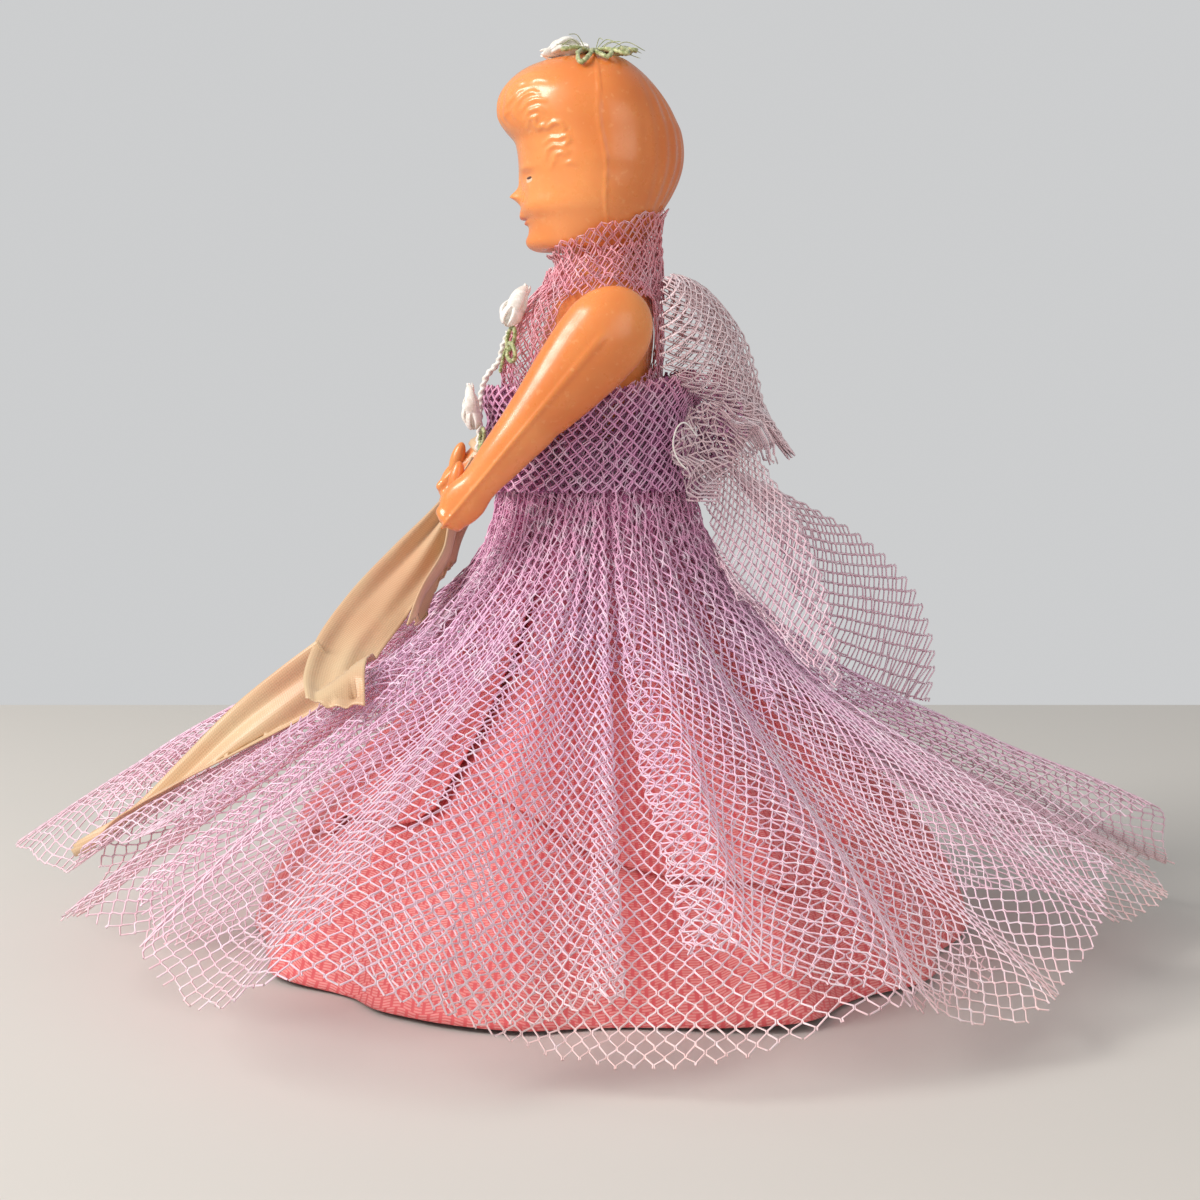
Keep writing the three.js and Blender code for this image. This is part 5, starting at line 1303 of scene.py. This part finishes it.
def makeTrims():
    for node, sizes in buds.items():
        makeBud(node, *sizes)
    settleThreads("braided_stem", [thread(stemLine, 0.46, 120, 10, 2.4)], "white_trim", "trim_stem")
    loops = [threadLoop(leafFoot["upper"], (0.58, 0.28, 0.765), (-0.69, -0.33, 0.64), 4.2, 2.6, 0.34),
             threadLoop(leafFoot["upper"], (0.85, 0.41, -0.32), (0.29, 0.14, 0.95), 4.4, 2.8, 0.34, 0.5),
             thread(leafLine, 0.3, 30, 8, 5)]
    settleThreads("leaf_loops_upper_thread", loops, "green_trim", "leaf_loops_upper")
    loops = [threadLoop(leafFoot["lower"], (0.81, 0.21, 0.54), (-0.52, -0.13, 0.84), 4.2, 2.4, 0.32),
             threadLoop(leafFoot["lower"], (0.78, 0.2, -0.59), (0.57, 0.15, 0.81), 4.0, 2.4, 0.32, 0.4)]
    settleThreads("leaf_loops_lower_thread", loops, "green_trim", "leaf_loops_lower")
    settleThreads("hair_leaf_loops", [onHead(*leaf) for leaf in hairLeaves], "green_trim", "hair_leaves")
    random = np.random.default_rng(4)
    strays = []
    for _ in range(stray["count"]):
        turn, length = random.uniform(-stray["turn"], stray["turn"]), random.uniform(*stray["length"])
        ahead = np.array([math.sin(turn), math.cos(turn), 0])
        start = np.array(stray["foot"]) + ahead * random.uniform(0.5, 2.5)
        rise = random.uniform(0.5, 2.6)
        middle, end = start + ahead * length * 0.5 + [0, 0, rise], start + ahead * length
        end = end + [0, 0, rise * random.uniform(-0.2, 0.9)]
        strays.append(thread([start, middle, end], stray["radius"], 14, 5))
    settleThreads("hair_stray_threads", strays, "green_trim")
    settleThreads("bow_thread_end", [thread(threadEnd, 0.13, 50, 6)], "white_trim")


makeTrims()
nodes["arm_elastic"].data.materials.clear()
nodes["arm_elastic"].data.materials.append(elasticCord)
print("trims made")

# plain pale floor and soft studio light
studio = {
    "floor": (214, 210, 204), "grain": (204, 202, 198), "floorHalf": 255, "wall": 0.62, "ambient": 0.42,
    "air": (0.98, 0.99, 1, 1), "lamp": (1, 0.97, 0.93), "aim": (0, 0, 0.07)}
# power in watts, place and size in metres
lamps = {"key": (7, (0.28, -0.62, 0.55), 0.4), "fill": (1.7, (0.8, 0.4, 0.3), 0.6)}


def makeStudio():
    half = studio["floorHalf"]
    material, kit, shader = newMaterial("pale floor", Roughness=0.75)
    grain = kit.noise(kit.objectPlace(), 6).ease(0.3, 0.7)
    kit.put(shader.inputs["Base Color"], kit.mix(grain * 0.2, studio["floor"], studio["grain"]))
    corners = [(-half, -half, -0.05), (half, -half, -0.05), (half, half, -0.05), (-half, half, -0.05)]
    newPiece("floor", corners, [(0, 1, 2, 3)], material)
    world = bpy.data.worlds.new("studio")
    scene.world = world
    world.use_nodes = True
    kit = Kit(world.node_tree)
    light = world.node_tree.nodes["Background"].inputs
    seen = kit.add("ShaderNodeLightPath", output="Is Camera Ray")
    kit.put(light["Strength"], seen * (studio["wall"] - studio["ambient"]) + studio["ambient"])
    light["Color"].default_value = studio["air"]
    for name, (power, place, size) in lamps.items():
        lamp = bpy.data.lights.new(name, "AREA")
        lamp.energy, lamp.size = power, size
        lamp.color = studio["lamp"]
        stand = bpy.data.objects.new(name, lamp)
        scene.collection.objects.link(stand)
        stand.location = place
        aim = Vector(studio["aim"]) - Vector(place)
        stand.rotation_euler = aim.to_track_quat("-Z", "Y").to_euler()


makeStudio()
print("studio made")
